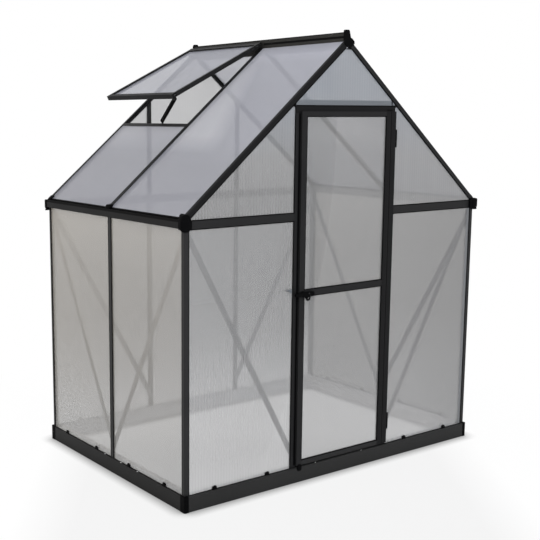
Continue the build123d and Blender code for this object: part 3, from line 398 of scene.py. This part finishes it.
# All the sheets are one milky twin-wall: their different tones, their rise and fall with height and their
# sweep along a wall are painted light and shade.
gable_tone = (0.236, 0.236, 0.236)
door_tone = (0.204, 0.204, 0.204)
peak_tone = (0.238, 0.256, 0.280)
side_tone = (0.256, 0.245, 0.226)
side_foot_tone = (0.231, 0.230, 0.226)
roof_tone = (0.236, 0.242, 0.280)
rear_tone = (0.270, 0.270, 0.270)
# Painted shade: tones of the strips laid on the front panes.
shade_tone = (0.140, 0.153, 0.168)
shade_pale_tone = (0.175, 0.181, 0.188)
front_stops = by_height(gable_tone, (0.10, 1.40), (0.20, 1.27), (0.48, 1.16), (0.75, 1))
upper_foot_stops = by_height(gable_tone, (1.30, 0.98), (1.50, 1.04))
upper_stops = upper_foot_stops + by_height(peak_tone, (1.80, 1))
door_stops = by_height(door_tone, (0.15, 1.24), (0.40, 1.12), (0.60, 1), (1.10, 0.94), (1.60, 1.15))
side_foot_stops = by_height(side_foot_tone, (0.15, 1))
side_stops = side_foot_stops + by_height(side_tone, (0.60, 0.90), (1.00, 1.02), (1.22, 1.27))
roof_stops = by_height(
    roof_tone, (1.30, 1.02), (1.48, 1.00), (1.58, 1.14), (1.84, 1.22), (1.95, 1.34), (2.00, 1.60),
)
vent_stops = by_height(roof_tone, (1.70, 1.16), (1.90, 1.24), (2.00, 1.40))
rear_stops = by_height(rear_tone, (0.07, 3.2), (0.35, 2.0), (0.65, 1.1), (1.20, 1), (1.50, 1.55))
shade_stops = by_height(shade_tone, (0.5, 1), (2.0, 1))
shade_pale_stops = by_height(shade_pale_tone, (0.5, 1), (2.0, 1))
front_ends = (shaded(white, 1.14), shaded(white, 0.76))
upper_ends = (shaded(white, 0.99), shaded(white, 1.12))
side_ends = ((0.78, 0.785, 0.79), (1.05, 1.035, 0.995))

panel_front = twin_wall("panel_front", across_gable, panel_clear, front_stops, front_flutes, front_ends)
panel_upper = twin_wall("panel_upper", across_gable, upper_clear, upper_stops, upper_flutes, upper_ends)
panel_door = twin_wall("panel_door", across_gable, panel_clear, door_stops, door_flutes)
panel_side = twin_wall("panel_side", along_wall, panel_clear, side_stops, faint_flutes, side_ends)
panel_roof = twin_wall("panel_roof", along_wall, roof_clear, roof_stops, faint_flutes, light_painter=painted_light_near_vent)
panel_vent = twin_wall("panel_vent", along_wall, roof_clear, vent_stops, faint_flutes)
panel_rear = twin_wall("panel_rear", across_gable, panel_clear, rear_stops, faint_flutes)
panel_shade = twin_wall("panel_shade", across_gable, shade_clear, shade_stops, shade_flutes)
panel_shade_pale = twin_wall("panel_shade_pale", across_gable, shade_clear, shade_pale_stops, shade_flutes)

panel_finishes = {
    panel_front: ("wall_panels_front",),
    panel_upper: ("gable_panels_front",),
    panel_door: ("door_panel_upper", "door_panel_lower"),
    panel_side: ("wall_panels_left", "wall_panels_right"),
    panel_roof: ("roof_panels_left", "roof_panels_right"),
    panel_vent: ("vent_panel",),
    panel_rear: ("wall_panels_rear", "gable_panels_rear"),
}


def finish_of(name, key):
    """Finish of a node: its own one, or else that of its material slot."""
    for finish, members in (*own_finish.items(), *panel_finishes.items()):
        if name in members:
            return finish
    return finishes[key]


edge_round = 0.0006
flat_angle = radians(1)
edge_angle = radians(40)


def soften(node):
    """Flat faces joined and edges rounded a little."""
    flat = node.modifiers.new("flat", "DECIMATE")
    flat.decimate_type = "DISSOLVE"
    flat.angle_limit = flat_angle
    soft = node.modifiers.new("soft", "BEVEL")
    soft.width = edge_round
    soft.segments = 2
    soft.limit_method = "ANGLE"
    soft.angle_limit = edge_angle
    soft.harden_normals = True


for entry in frame["record"]["subparts"]:
    node = nodes[entry["node"]]
    if entry["material_slot"] != "panel_twinwall":
        soften(node)
    for place in node.material_slots:
        place.material = finish_of(entry["node"], entry["material_slot"])


def loft(rings, around=False):
    """Points and faces of closed rings joined one to the next.

    An open run gets flat ends, and a run around has none.
    """
    rings = np.asarray(rings, float)
    count, size = rings.shape[:2]
    i = np.arange(count if around else count - 1)[:, None]
    j = np.arange(size)[None, :]
    here = i * size
    there = ((i + 1) % count) * size
    after = (j + 1) % size
    quads = np.stack([here + j, here + after, there + after, there + j], axis=-1).reshape(-1, 4)
    faces = quads.tolist()
    if not around:
        ends = np.arange(size)
        faces += [ends[::-1].tolist(), (ends + (count - 1) * size).tolist()]
    return rings.reshape(-1, 3), faces


def piece(name, shapes, body, finish):
    """One piece of several closed shapes, riding on a body; faces point outwards."""
    starts = np.cumsum([0] + [len(points) for points, faces in shapes])
    points = np.concatenate([points for points, faces in shapes])
    faces = [[int(start) + k for k in face] for start, (_, own) in zip(starts, shapes) for face in own]
    mesh = bpy.data.meshes.new(name)
    mesh.from_pydata(points.tolist(), [], faces)
    work = bmesh.new()
    work.from_mesh(mesh)
    bmesh.ops.recalc_face_normals(work, faces=work.faces)
    work.to_mesh(mesh)
    work.free()
    mesh.materials.append(finish)
    made = bpy.data.objects.new(name, mesh)
    scene.collection.objects.link(made)
    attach(made, body)
    return made


def rectangle(left, right, bottom, top):
    """Corners of a rectangle in order."""
    return np.array([(left, bottom), (right, bottom), (right, top), (left, top)], float)


def oval(half_across, half_up, count):
    """Closed oval section of evenly turned points."""
    turn = np.linspace(0, 2 * np.pi, count, endpoint=False)
    return np.stack([half_across * np.cos(turn), half_up * np.sin(turn)], axis=-1)


def in_plane(outline, axis, place):
    """Flat outline set into space, at one place on the axis that its points lack."""
    return np.insert(np.asarray(outline, float), axis, place, axis=1)


def both_sides(outline):
    """An outline of (x, z) points and its mirror image."""
    outline = np.asarray(outline, float)
    return [outline, outline * (-1, 1)]


def plate(outline, out, thickness):
    """Flat plate: a closed outline of points carried along the normal of its face."""
    outline = np.asarray(outline, float)
    return loft([outline, outline + thickness * np.asarray(out, float)])


def front_plate(outline, y, thickness):
    """Plate of (x, z) points that lies on a face of the door gable."""
    return plate(in_plane(outline, 1, y), to_front, thickness)


def bar(section, start, end, across, up):
    """Straight bar: a closed section of (across, up) points carried from start to end."""
    section = np.asarray(section, float)
    ring = section[:, :1] * np.asarray(across, float) + section[:, 1:] * np.asarray(up, float)
    return loft([np.add(start, ring), np.add(end, ring)])


button_points = 48
shoulder_rings = 9
button_inset = 0.28
button_wall = 0.55
button_shoulder = 0.35
crown_shrink = [0.4, 0.02]
crown_height = [0.98, 1.0]


def button(centre, across, up, half_across, half_up, depth, power):
    """Domed button: a superellipse outline shrinks from its wall to its crown.

    It rises along the normal of its face, with a rounded shoulder between the wall and the crown.
    """
    across = np.asarray(across, float)
    up = np.asarray(up, float)
    turn = np.linspace(0, 2 * np.pi, button_points, endpoint=False)
    side = np.sign(np.cos(turn)) * np.abs(np.cos(turn)) ** (2 / power)
    rise = np.sign(np.sin(turn)) * np.abs(np.sin(turn)) ** (2 / power)
    outline = half_across * side[:, None] * across + half_up * rise[:, None] * up
    bend = np.linspace(0, np.pi / 2, shoulder_rings)
    shrink = np.concatenate([[1.0], 1 - button_inset + button_inset * np.cos(bend), crown_shrink])
    height = depth * np.concatenate([[0.0], button_wall + button_shoulder * np.sin(bend), crown_height])
    out = np.cross(across, up)
    rings = np.add(centre, shrink[:, None, None] * outline + height[:, None, None] * out)
    return loft(rings)


lip_thickness = 0.0006
bead_points = 5


def gasket(corners, out, width, depth, lip):
    """Rubber bead round a pane: a quarter-round with a flat lip over the frame.

    The section is carried round the corners in mitres, each along the sum of its two inward directions.
    """
    corners = np.asarray(corners, float)
    out = np.asarray(out, float)
    along = np.roll(corners, -1, axis=0) - corners
    inward = np.cross(out, along)
    inward = inward / np.linalg.norm(inward, axis=1, keepdims=True)
    inward = inward * np.sign(np.sum(inward * (corners.mean(axis=0) - corners), axis=1, keepdims=True))
    before = np.roll(inward, 1, axis=0)
    mitre = (before + inward) / (1 + np.sum(before * inward, axis=1, keepdims=True))
    bend = np.linspace(0, np.pi / 2, bead_points)
    top = depth + lip_thickness
    reach = np.concatenate([[0.0], width * np.cos(bend), [-lip, -lip, 0.0]])
    rise = np.concatenate([[0.0], top * np.sin(bend), [top, depth, depth]])
    rings = corners[:, None, :] + reach[None, :, None] * mitre[:, None, :] + rise[None, :, None] * out
    return loft(rings, around=True)


rim_sections = 36
rim_points = 12


def rim(centre, half_across, half_up, tube, flat):
    """Rim round an eye: an oval tube section carried round an ellipse in the plane of the gable."""
    turn = np.linspace(0, 2 * np.pi, rim_sections, endpoint=False)[:, None]
    bend = np.linspace(0, 2 * np.pi, rim_points, endpoint=False)[None, :]
    out = tube * np.cos(bend)
    x = (half_across + out) * np.cos(turn)
    y = flat * np.sin(bend) + 0 * turn
    z = (half_up + out) * np.sin(turn)
    return loft(np.add(centre, np.stack([x, y, z], axis=-1)), around=True)


def low(node):
    """Lowest corner of a node."""
    return np.array(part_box(node)[0])


def high(node):
    """Highest corner of a node."""
    return np.array(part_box(node)[1])


bead_width = 0.0020
door_lip = 0.0022
wall_lip = 0.0025
roof_pitch = radians(40)
rafter_leg = 0.0245
rear_post_x = 0.302
gable_face = low("front_rails")[1]
gable_glass = low("wall_panels_front")[1]
base_top = high("base_front")[2]
rail_low = low("front_rails")[2]
rail_high = high("front_rails")[2]
jamb_edge = high("door_jamb_right")[0]
head_top = high("door_head")[2]
post_edge = low("corner_post_front_right")[0]
rafter_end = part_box("gable_rafter_front_right")
apex_z = rafter_end[1][2] + rafter_end[0][0] * tan(roof_pitch)
inner_apex_z = apex_z - rafter_leg / np.cos(roof_pitch)


def rafter_edge(z):
    """Half width of the gable inside the rafters at a height."""
    return (inner_apex_z - z) / tan(roof_pitch)


def front_gaskets():
    """Beads round the panes of the door gable, at the foot, the upper corners and the peak."""
    lower = rectangle(jamb_edge, post_edge, base_top, rail_low)
    upper_top = inner_apex_z - jamb_edge * tan(roof_pitch)
    upper = [(jamb_edge, rail_high), (rafter_edge(rail_high), rail_high), (jamb_edge, upper_top)]
    peak_top = low("ridge_beam")[2]
    foot, crown = rafter_edge(head_top), rafter_edge(peak_top)
    peak = [(-foot, head_top), (foot, head_top), (crown, peak_top), (-crown, peak_top)]
    depth = gable_glass - gable_face
    shapes = []
    for outline in both_sides(lower) + both_sides(upper) + [peak]:
        corners = in_plane(outline, 1, gable_glass)
        shapes.append(gasket(corners, to_front, bead_width, depth, wall_lip))
    piece("front_gaskets", shapes, "frame", rubber_black)


def side_gaskets():
    """Beads round the two panes of each side wall."""
    post_y = high("corner_post_front_left")[1]
    mid_y = low("mid_posts")[1]
    top = high("corner_post_front_left")[2]
    glass = high("wall_panels_right")[0]
    depth = high("corner_post_front_right")[0] - glass
    shapes = []
    for face in (-1, 1):
        for sign in (-1, 1):
            outline = rectangle(sign * -post_y, sign * -mid_y, base_top, top)
            corners = in_plane(outline, 0, face * glass)
            shapes.append(gasket(corners, (face, 0, 0), bead_width, depth, wall_lip))
    piece("side_gaskets", shapes, "frame", rubber_black)


def rear_gaskets():
    """Beads round the three lower panes of the rear gable."""
    post_out = high("rear_posts")[0]
    post_in = 2 * rear_post_x - post_out
    glass = high("wall_panels_rear")[1]
    depth = high("rear_rails")[1] - glass
    outer = rectangle(post_out, post_edge, base_top, rail_low)
    middle = rectangle(-post_in, post_in, base_top, rail_low)
    shapes = []
    for outline in both_sides(outer) + [middle]:
        shapes.append(gasket(in_plane(outline, 1, glass), to_rear, bead_width, depth, wall_lip))
    piece("rear_gaskets", shapes, "frame", rubber_black)


def door_gaskets():
    """Beads round the two panes of the door leaf."""
    left = high("door_stile_left")[0]
    right = low("door_stile_right")[0]
    face = low("door_mid_rail")[1]
    glass = low("door_panel_upper")[1]
    lower = rectangle(left, right, high("door_bottom_rail")[2], low("door_mid_rail")[2])
    upper = rectangle(left, right, high("door_mid_rail")[2], low("door_top_rail")[2])
    shapes = []
    for outline in (lower, upper):
        shapes.append(gasket(in_plane(outline, 1, glass), to_front, bead_width, glass - face, door_lip))
    piece("door_gaskets", shapes, "door", rubber_black)


def eave_cap_domes():
    """Rounded covers on the four eave caps, over the feet of the rafters.

    The one at the foot of the vent slope is the tallest.
    """
    vent_foot = (-0.910, gable_face, 1.2605)
    plain_foot = (0.911, gable_face, 1.2515)
    rear_feet = [(-0.905, -gable_face, 1.2500), (0.905, -gable_face, 1.2500)]
    shapes = [
        button(vent_foot, to_right, to_top, half_across=0.028, half_up=0.0375, depth=0.0135, power=2.6),
        button(plain_foot, to_right, to_top, half_across=0.0235, half_up=0.0290, depth=0.0135, power=3.0),
    ]
    for foot in rear_feet:
        shapes.append(button(
            foot, to_left, to_top, half_across=0.020, half_up=0.0260, depth=0.0065, power=2.6,
        ))
    piece("eave_cap_domes", shapes, "frame", plastic_black)


shade_thickness = 0.0006
head_shade_rise = 0.024
post_shade_width = 0.020
keeper_outline = [(-0.3515, 0.9236), (-0.3165, 0.9218), (-0.3165, 0.9024), (-0.3308, 0.9104)]


def flange_shades():
    """Bluish strips of painted shade on the front panes.

    They lie where the head, a post and the latch keeper stand close behind the sheet.
    """
    strip_top = head_top + head_shade_rise
    foot, crown = rafter_edge(head_top) - bead_width, rafter_edge(strip_top) - bead_width
    over_head = [(-foot, head_top), (foot, head_top), (crown, strip_top), (-crown, strip_top)]
    head_strip = front_plate(over_head, gable_glass, shade_thickness)
    piece("head_shade", [head_strip], "frame", panel_shade)
    keeper_strip = front_plate(keeper_outline, gable_glass, shade_thickness)
    piece("keeper_shade", [keeper_strip], "frame", panel_shade)
    beside_post = rectangle(
        post_edge - post_shade_width, post_edge - bead_width, base_top + bead_width, rail_low - bead_width,
    )
    post_strip = front_plate(beside_post, gable_glass, shade_thickness)
    piece("post_shade", [post_strip], "frame", panel_shade_pale)


def door_grooves():
    """Black seal strips beside the door: along the jamb of the lock and on the head over the hinge."""
    edge = low("door_stile_left")[0]
    seal = rectangle(left=edge - 0.0085, right=edge + 0.001, bottom=0.084, top=1.711)
    dash = rectangle(left=0.261, right=0.295, bottom=1.7245, top=1.7285)
    clip = rectangle(left=0.290, right=0.296, bottom=1.7475, top=1.7740)
    shapes = [
        front_plate(seal, low("door_jamb_left")[1], thickness=0.0012),
        front_plate(dash, low("door_head")[1], thickness=0.0008),
        front_plate(clip, gable_glass, thickness=0.0016),
    ]
    piece("door_grooves", shapes, "frame", rubber_black)


painted_sheet_thickness = 0.0008
painted_sheet_foot = 0.0015
painted_sheet_rise = 0.010
side_rail_width = 0.0428
panel_gap = 0.001


def base_painted_light():
    """Pale sheets of painted light on the base: inside the rear and side rails, and on the flanges within
    the panels.
    """
    inner_x = high("base_sides")[0] - side_rail_width
    inner_y = low("base_rear")[1] - painted_sheet_thickness
    crown = base_top + painted_sheet_rise
    rear = rectangle(-inner_x, inner_x, painted_sheet_foot, crown)
    side = rectangle(-inner_y, inner_y, painted_sheet_foot, crown)
    shapes = [plate(in_plane(rear, 1, inner_y), to_rear, painted_sheet_thickness)]
    for sign in (-1, 1):
        shapes.append(plate(in_plane(side, 0, sign * inner_x), (sign, 0, 0), painted_sheet_thickness))
    wall_x = low("wall_panels_right")[0] - panel_gap
    wall_y = low("wall_panels_rear")[1] - panel_gap
    for sign in (-1, 1):
        gable_flange = rectangle(-inner_x, inner_x, sign * inner_y, sign * wall_y)
        side_flange = rectangle(sign * inner_x, sign * wall_x, -inner_y, inner_y)
        for flange in (gable_flange, side_flange):
            shapes.append(plate(in_plane(flange, 2, base_top), to_top, painted_sheet_thickness))
    piece("base_painted_light", shapes, "frame", painted_light_coat)


knob_shift = 0.150
knob_out = 0.0036
knob_rise = 0.007
knob_half_thick = 0.0035
knob_half_wide = 0.0080
knob_height = 0.011
knob_power = 3


def clip_knobs():
    """Black knobs on the panel clips, two to each pane on the base."""
    side_centre = (high("corner_post_front_left")[1] + low("mid_posts")[1]) / 2
    gable_centre = (post_edge + jamb_edge) / 2
    side_x = high("wall_panels_right")[0] + knob_out
    gable_y = gable_glass - knob_out
    z = base_top + knob_rise
    side_size = (knob_half_thick, knob_half_wide, knob_height, knob_power)
    gable_size = (knob_half_wide, knob_half_thick, knob_height, knob_power)
    shapes = []
    for sign in (-1, 1):
        for half in (-1, 1):
            for shift in (-knob_shift, knob_shift):
                side = (sign * side_x, half * side_centre + shift, z)
                shapes.append(button(side, to_right, to_rear, *side_size))
                gable = (half * gable_centre + shift, sign * -gable_y, z)
                shapes.append(button(gable, to_right, to_rear, *gable_size))
    piece("clip_knobs", shapes, "frame", rubber_black)


sleeve_section = oval(0.0075, 0.0055, 16)
sleeve_start = 0.01
sleeve_end = 0.90
stay_end_height = 0.01


def stay_sleeve():
    """Oval sleeve round the arm of the vent stay, along the line between the middles of its ends."""
    mesh = nodes["vent_stay"].data
    points = np.empty(len(mesh.vertices) * 3)
    mesh.vertices.foreach_get("co", points)
    points = points.reshape(-1, 3)
    height = points[:, 2]
    top = points[height > height.max() - stay_end_height].mean(axis=0)
    foot = points[height < height.min() + stay_end_height].mean(axis=0)
    along = (top - foot) / np.linalg.norm(top - foot)
    across = np.cross(along, to_right)
    across = across / np.linalg.norm(across)
    start, end = foot + sleeve_start * (top - foot), foot + sleeve_end * (top - foot)
    sleeve = bar(sleeve_section, start, end, across, np.cross(along, across))
    piece("stay_sleeve", [sleeve], "stay", plastic_black)


ridge_half = 0.012
ridge_bead = oval(0.0022, 0.0022, 10)
ridge_bead_inset = 0.0012
ridge_strip = [(0, 0), (0.0012, 0.0012), (0.0012, 0.009), (0, 0.010)]
ridge_strip_drop = 0.026
vent_front = -0.016


def ridge_trim():
    """Black beads along the upper edges of the ridge and seal strips at the foot of its faces.

    The strip on the side of the vent ends in front of it.
    """
    front, rear, top = low("ridge_beam")[1], high("ridge_beam")[1], high("ridge_beam")[2]
    shapes = []
    for sign, strip_rear in ((-1, vent_front), (1, rear)):
        x, z = sign * ridge_half, top - ridge_strip_drop
        shapes.append(bar(ridge_strip, (x, front, z), (x, strip_rear, z), (sign, 0, 0), to_top))
        x, z = sign * (ridge_half - ridge_bead_inset), top - ridge_bead_inset
        shapes.append(bar(ridge_bead, (x, front, z), (x, rear, z), to_right, to_top))
    piece("ridge_trim", shapes, "frame", rubber_black)


rafter_foot_x = 0.903
rafter_foot_z = 1.2805


def rafter_foot_caps():
    """Black caps on the feet of the middle rafters, over the gutters."""
    shapes = []
    for sign in (-1, 1):
        shapes.append(button(
            (sign * rafter_foot_x, 0, rafter_foot_z), (0, sign, 0), to_top,
            half_across=0.020, half_up=0.0155, depth=0.022, power=3.2,
        ))
    piece("rafter_foot_caps", shapes, "frame", plastic_black)


gutter_bead = oval(0.003, 0.003, 10)
gutter_bead_inset = 0.0018
gutter_end_gap = 0.012
painted_shade_drop = 0.0085
painted_shade_thickness = 0.0008


def gutter_beads():
    """Black round beads along the lips of the gutters, each with a black strip of painted shade down the
    outside.
    """
    shapes = []
    for node, sign in (("gutter_left", -1), ("gutter_right", 1)):
        edge = abs(low(node)[0] if sign < 0 else high(node)[0])
        front, rear = low(node)[1] + gutter_end_gap, high(node)[1] - gutter_end_gap
        x, z = sign * (edge - gutter_bead_inset), high(node)[2]
        shapes.append(bar(gutter_bead, (x, front, z), (x, rear, z), to_right, to_top))
        # Painted shade: a black strip under the lip makes the trough look deeper.
        painted_shade_strip = in_plane(rectangle(front, rear, z, z - painted_shade_drop), 0, sign * edge)
        shapes.append(plate(painted_shade_strip, (sign, 0, 0), painted_shade_thickness))
    piece("gutter_beads", shapes, "frame", rubber_black)


def door_catch():
    """Pull tab at the foot of the door, hanging in front of the base."""
    centre = (-0.266, low("door_stile_left")[1], 0.0715)
    tab = button(centre, to_right, to_top, half_across=0.0125, half_up=0.0155, depth=0.0055, power=3.2)
    piece("door_catch", [tab], "door", plastic_black)


front_screw_y = -0.6145
front_screws_x = (-0.1575, 0.145)
left_screw_x = -0.9155
left_screws_y = (0.065, -0.084, -0.2305)
screw_radius = 0.0024
screw_height = 0.0022


def base_screws():
    """Pale screw heads along the top edge of the base."""
    front = [(x, front_screw_y, base_top) for x in front_screws_x]
    left = [(left_screw_x, y, base_top) for y in left_screws_y]
    size = (screw_radius, screw_radius, screw_height, 2)
    shapes = [button(place, to_right, to_rear, *size) for place in front + left]
    piece("base_screws", shapes, "frame", screw_pale)


rib_section = rectangle(-0.0024, 0.0024, -0.0022, 0.0022)
rib_slant = (0.707, 0, 0.707)
eye_depth = 0.004


def eye_rim():
    """Thick rim of the padlock eye and the rib that runs down to it from the lever."""
    y = low("handle_lever")[1] + eye_depth
    eye_centre = (-0.2398, y, 0.8782)
    rib_top, rib_foot = (-0.2660, y, 0.8920), (-0.2465, y, 0.8728)
    ring = rim(eye_centre, half_across=0.0090, half_up=0.0098, tube=0.0034, flat=0.0026)
    rib = bar(rib_section, rib_top, rib_foot, rib_slant, to_rear)
    piece("eye_rim", [ring, rib], "handle", plastic_black)


def handle_screw():
    """Dull screw head on the lever."""
    centre = (-0.2364, low("handle_lever")[1], 0.9002)
    head = button(centre, to_right, to_top, half_across=0.0038, half_up=0.0038, depth=0.0015, power=2)
    piece("handle_screw", [head], "handle", frame_painted_lighter)


front_gaskets()
side_gaskets()
rear_gaskets()
door_gaskets()
eave_cap_domes()
flange_shades()
door_grooves()
base_painted_light()
clip_knobs()
stay_sleeve()
eye_rim()
ridge_trim()
rafter_foot_caps()
gutter_beads()
door_catch()
base_screws()
handle_screw()

floor_half = 40
floor_drop = 0.0005
floor_dark = (0.90, 0.90, 0.90)
floor_light = (0.94, 0.94, 0.94)
floor_grain = 60
# Painted shadow on the floor: the level in front of the base and the darkening at the contact.
painted_shadow_level = 0.905
front_fade = (-0.2, 0.1)
side_fade = (0.86, 1.12)
near_share = (1.0, 1.4, 0.72, 0.96)
far_share = (1.4, 2.0, 0.96, 1)
towards_back = (0.575, 0.818, 0)
towards_side = (0.818, -0.575, 0)
contact_reach = 0.07
contact_low = 0.35
contact_power = 1.3


def stage_floor():
    """Pale floor far larger than the object; it shows near white, with a painted shadow close in front of
    the base.

    The share of open sky sets how dark the painted contact shadow is, and the share of plain light falls
    with distance.
    """
    corners = in_plane(rectangle(-floor_half, floor_half, -floor_half, floor_half), 2, 0)
    mesh = bpy.data.meshes.new("floor")
    mesh.from_pydata(corners.tolist(), [], [(0, 1, 2, 3)])
    g = Graph(bpy.data.materials.new("floor"))
    where = g.place()
    colour = g.tint(g.noise(where, floor_grain, 2), floor_dark, floor_light)
    plain = g.add("BsdfDiffuse", {"Color": colour}).outputs[0]
    behind = g.dot(where, towards_back)
    aside = g.math("ABSOLUTE", g.dot(where, towards_side))
    away = g.add("VectorMath", {0: where}, operation="LENGTH").outputs["Value"]
    open_sky = g.add("AmbientOcclusion", {"Distance": contact_reach}, samples=16).outputs["AO"]
    # Painted shadow: darker in front of the base and where the floor meets it.
    beside = g.ramp(aside, *side_fade, painted_shadow_level, 1)
    plain_level = g.math("MAXIMUM", g.ramp(behind, *front_fade, painted_shadow_level, 1), beside)
    contact = g.math("POWER", g.ramp(open_sky, contact_low, 1, contact_low, 1), contact_power)
    level = g.math("MULTIPLY", plain_level, contact)
    bright = g.add("Emission", {"Color": (*white, 1), "Strength": level}).outputs[0]
    share = g.math("MAXIMUM", g.ramp(away, *near_share), g.ramp(away, *far_share))
    seen = g.math("MULTIPLY", share, g.background_rays())
    mesh.materials.append(g.finish(g.mixed(seen, plain, bright)))
    floor = bpy.data.objects.new("floor", mesh)
    scene.collection.objects.link(floor)
    floor.location.z = -floor_drop


def stage_light(name, place, aim, size, power, colour):
    """Square soft light turned to a point."""
    data = bpy.data.lights.new(name, "AREA")
    data.size = size
    data.energy = power
    data.color = colour
    lamp = bpy.data.objects.new(name, data)
    lamp.location = place
    direction = np.subtract(aim, place)
    lamp.rotation_euler = (
        np.arctan2(np.hypot(direction[0], direction[1]), -direction[2]),
        0,
        np.arctan2(direction[1], direction[0]) - radians(90),
    )
    scene.collection.objects.link(lamp)


def stage_world(level, low_tint, high_tint):
    """White background for the camera and for gloss; soft light, a little cooler from above, elsewhere."""
    scene.world = bpy.data.worlds.new("studio")
    g = Graph(scene.world)
    height = g.spread(g.add("TexCoord").outputs["Generated"])[2]
    lit = g.add("Background", {"Color": g.tint(height, low_tint, high_tint), "Strength": level}).outputs[0]
    shown = g.add("Background", {"Color": (*white, 1), "Strength": 1.0}).outputs[0]
    g.finish(g.mixed(g.background_rays(), lit, shown), "OutputWorld")


stage_floor()
stage_world(level=0.75, low_tint=white, high_tint=(0.92, 0.95, 1.03))
stage_light("key", place=(-2.5, -4.5, 4.2), aim=(0, 0, 0.8), size=3.5, power=210, colour=white)
stage_light("side", place=(-4.5, 1.2, 2.2), aim=(0, 0, 0.9), size=2.5, power=60, colour=(1, 0.9, 0.76))

camera_tilt = 9.046
camera_turn = 35.100
lens = bpy.data.cameras.new("camera")
lens.sensor_width = 36
lens.lens = 65.544
lens.shift_x = 0.14984
lens.shift_y = 0.00313
eye = bpy.data.objects.new("camera", lens)
eye.location = (-3.22293, -3.93101, 1.70314)
eye.rotation_euler = (radians(90 - camera_tilt), 0, radians(-camera_turn))
scene.collection.objects.link(eye)
scene.camera = eye
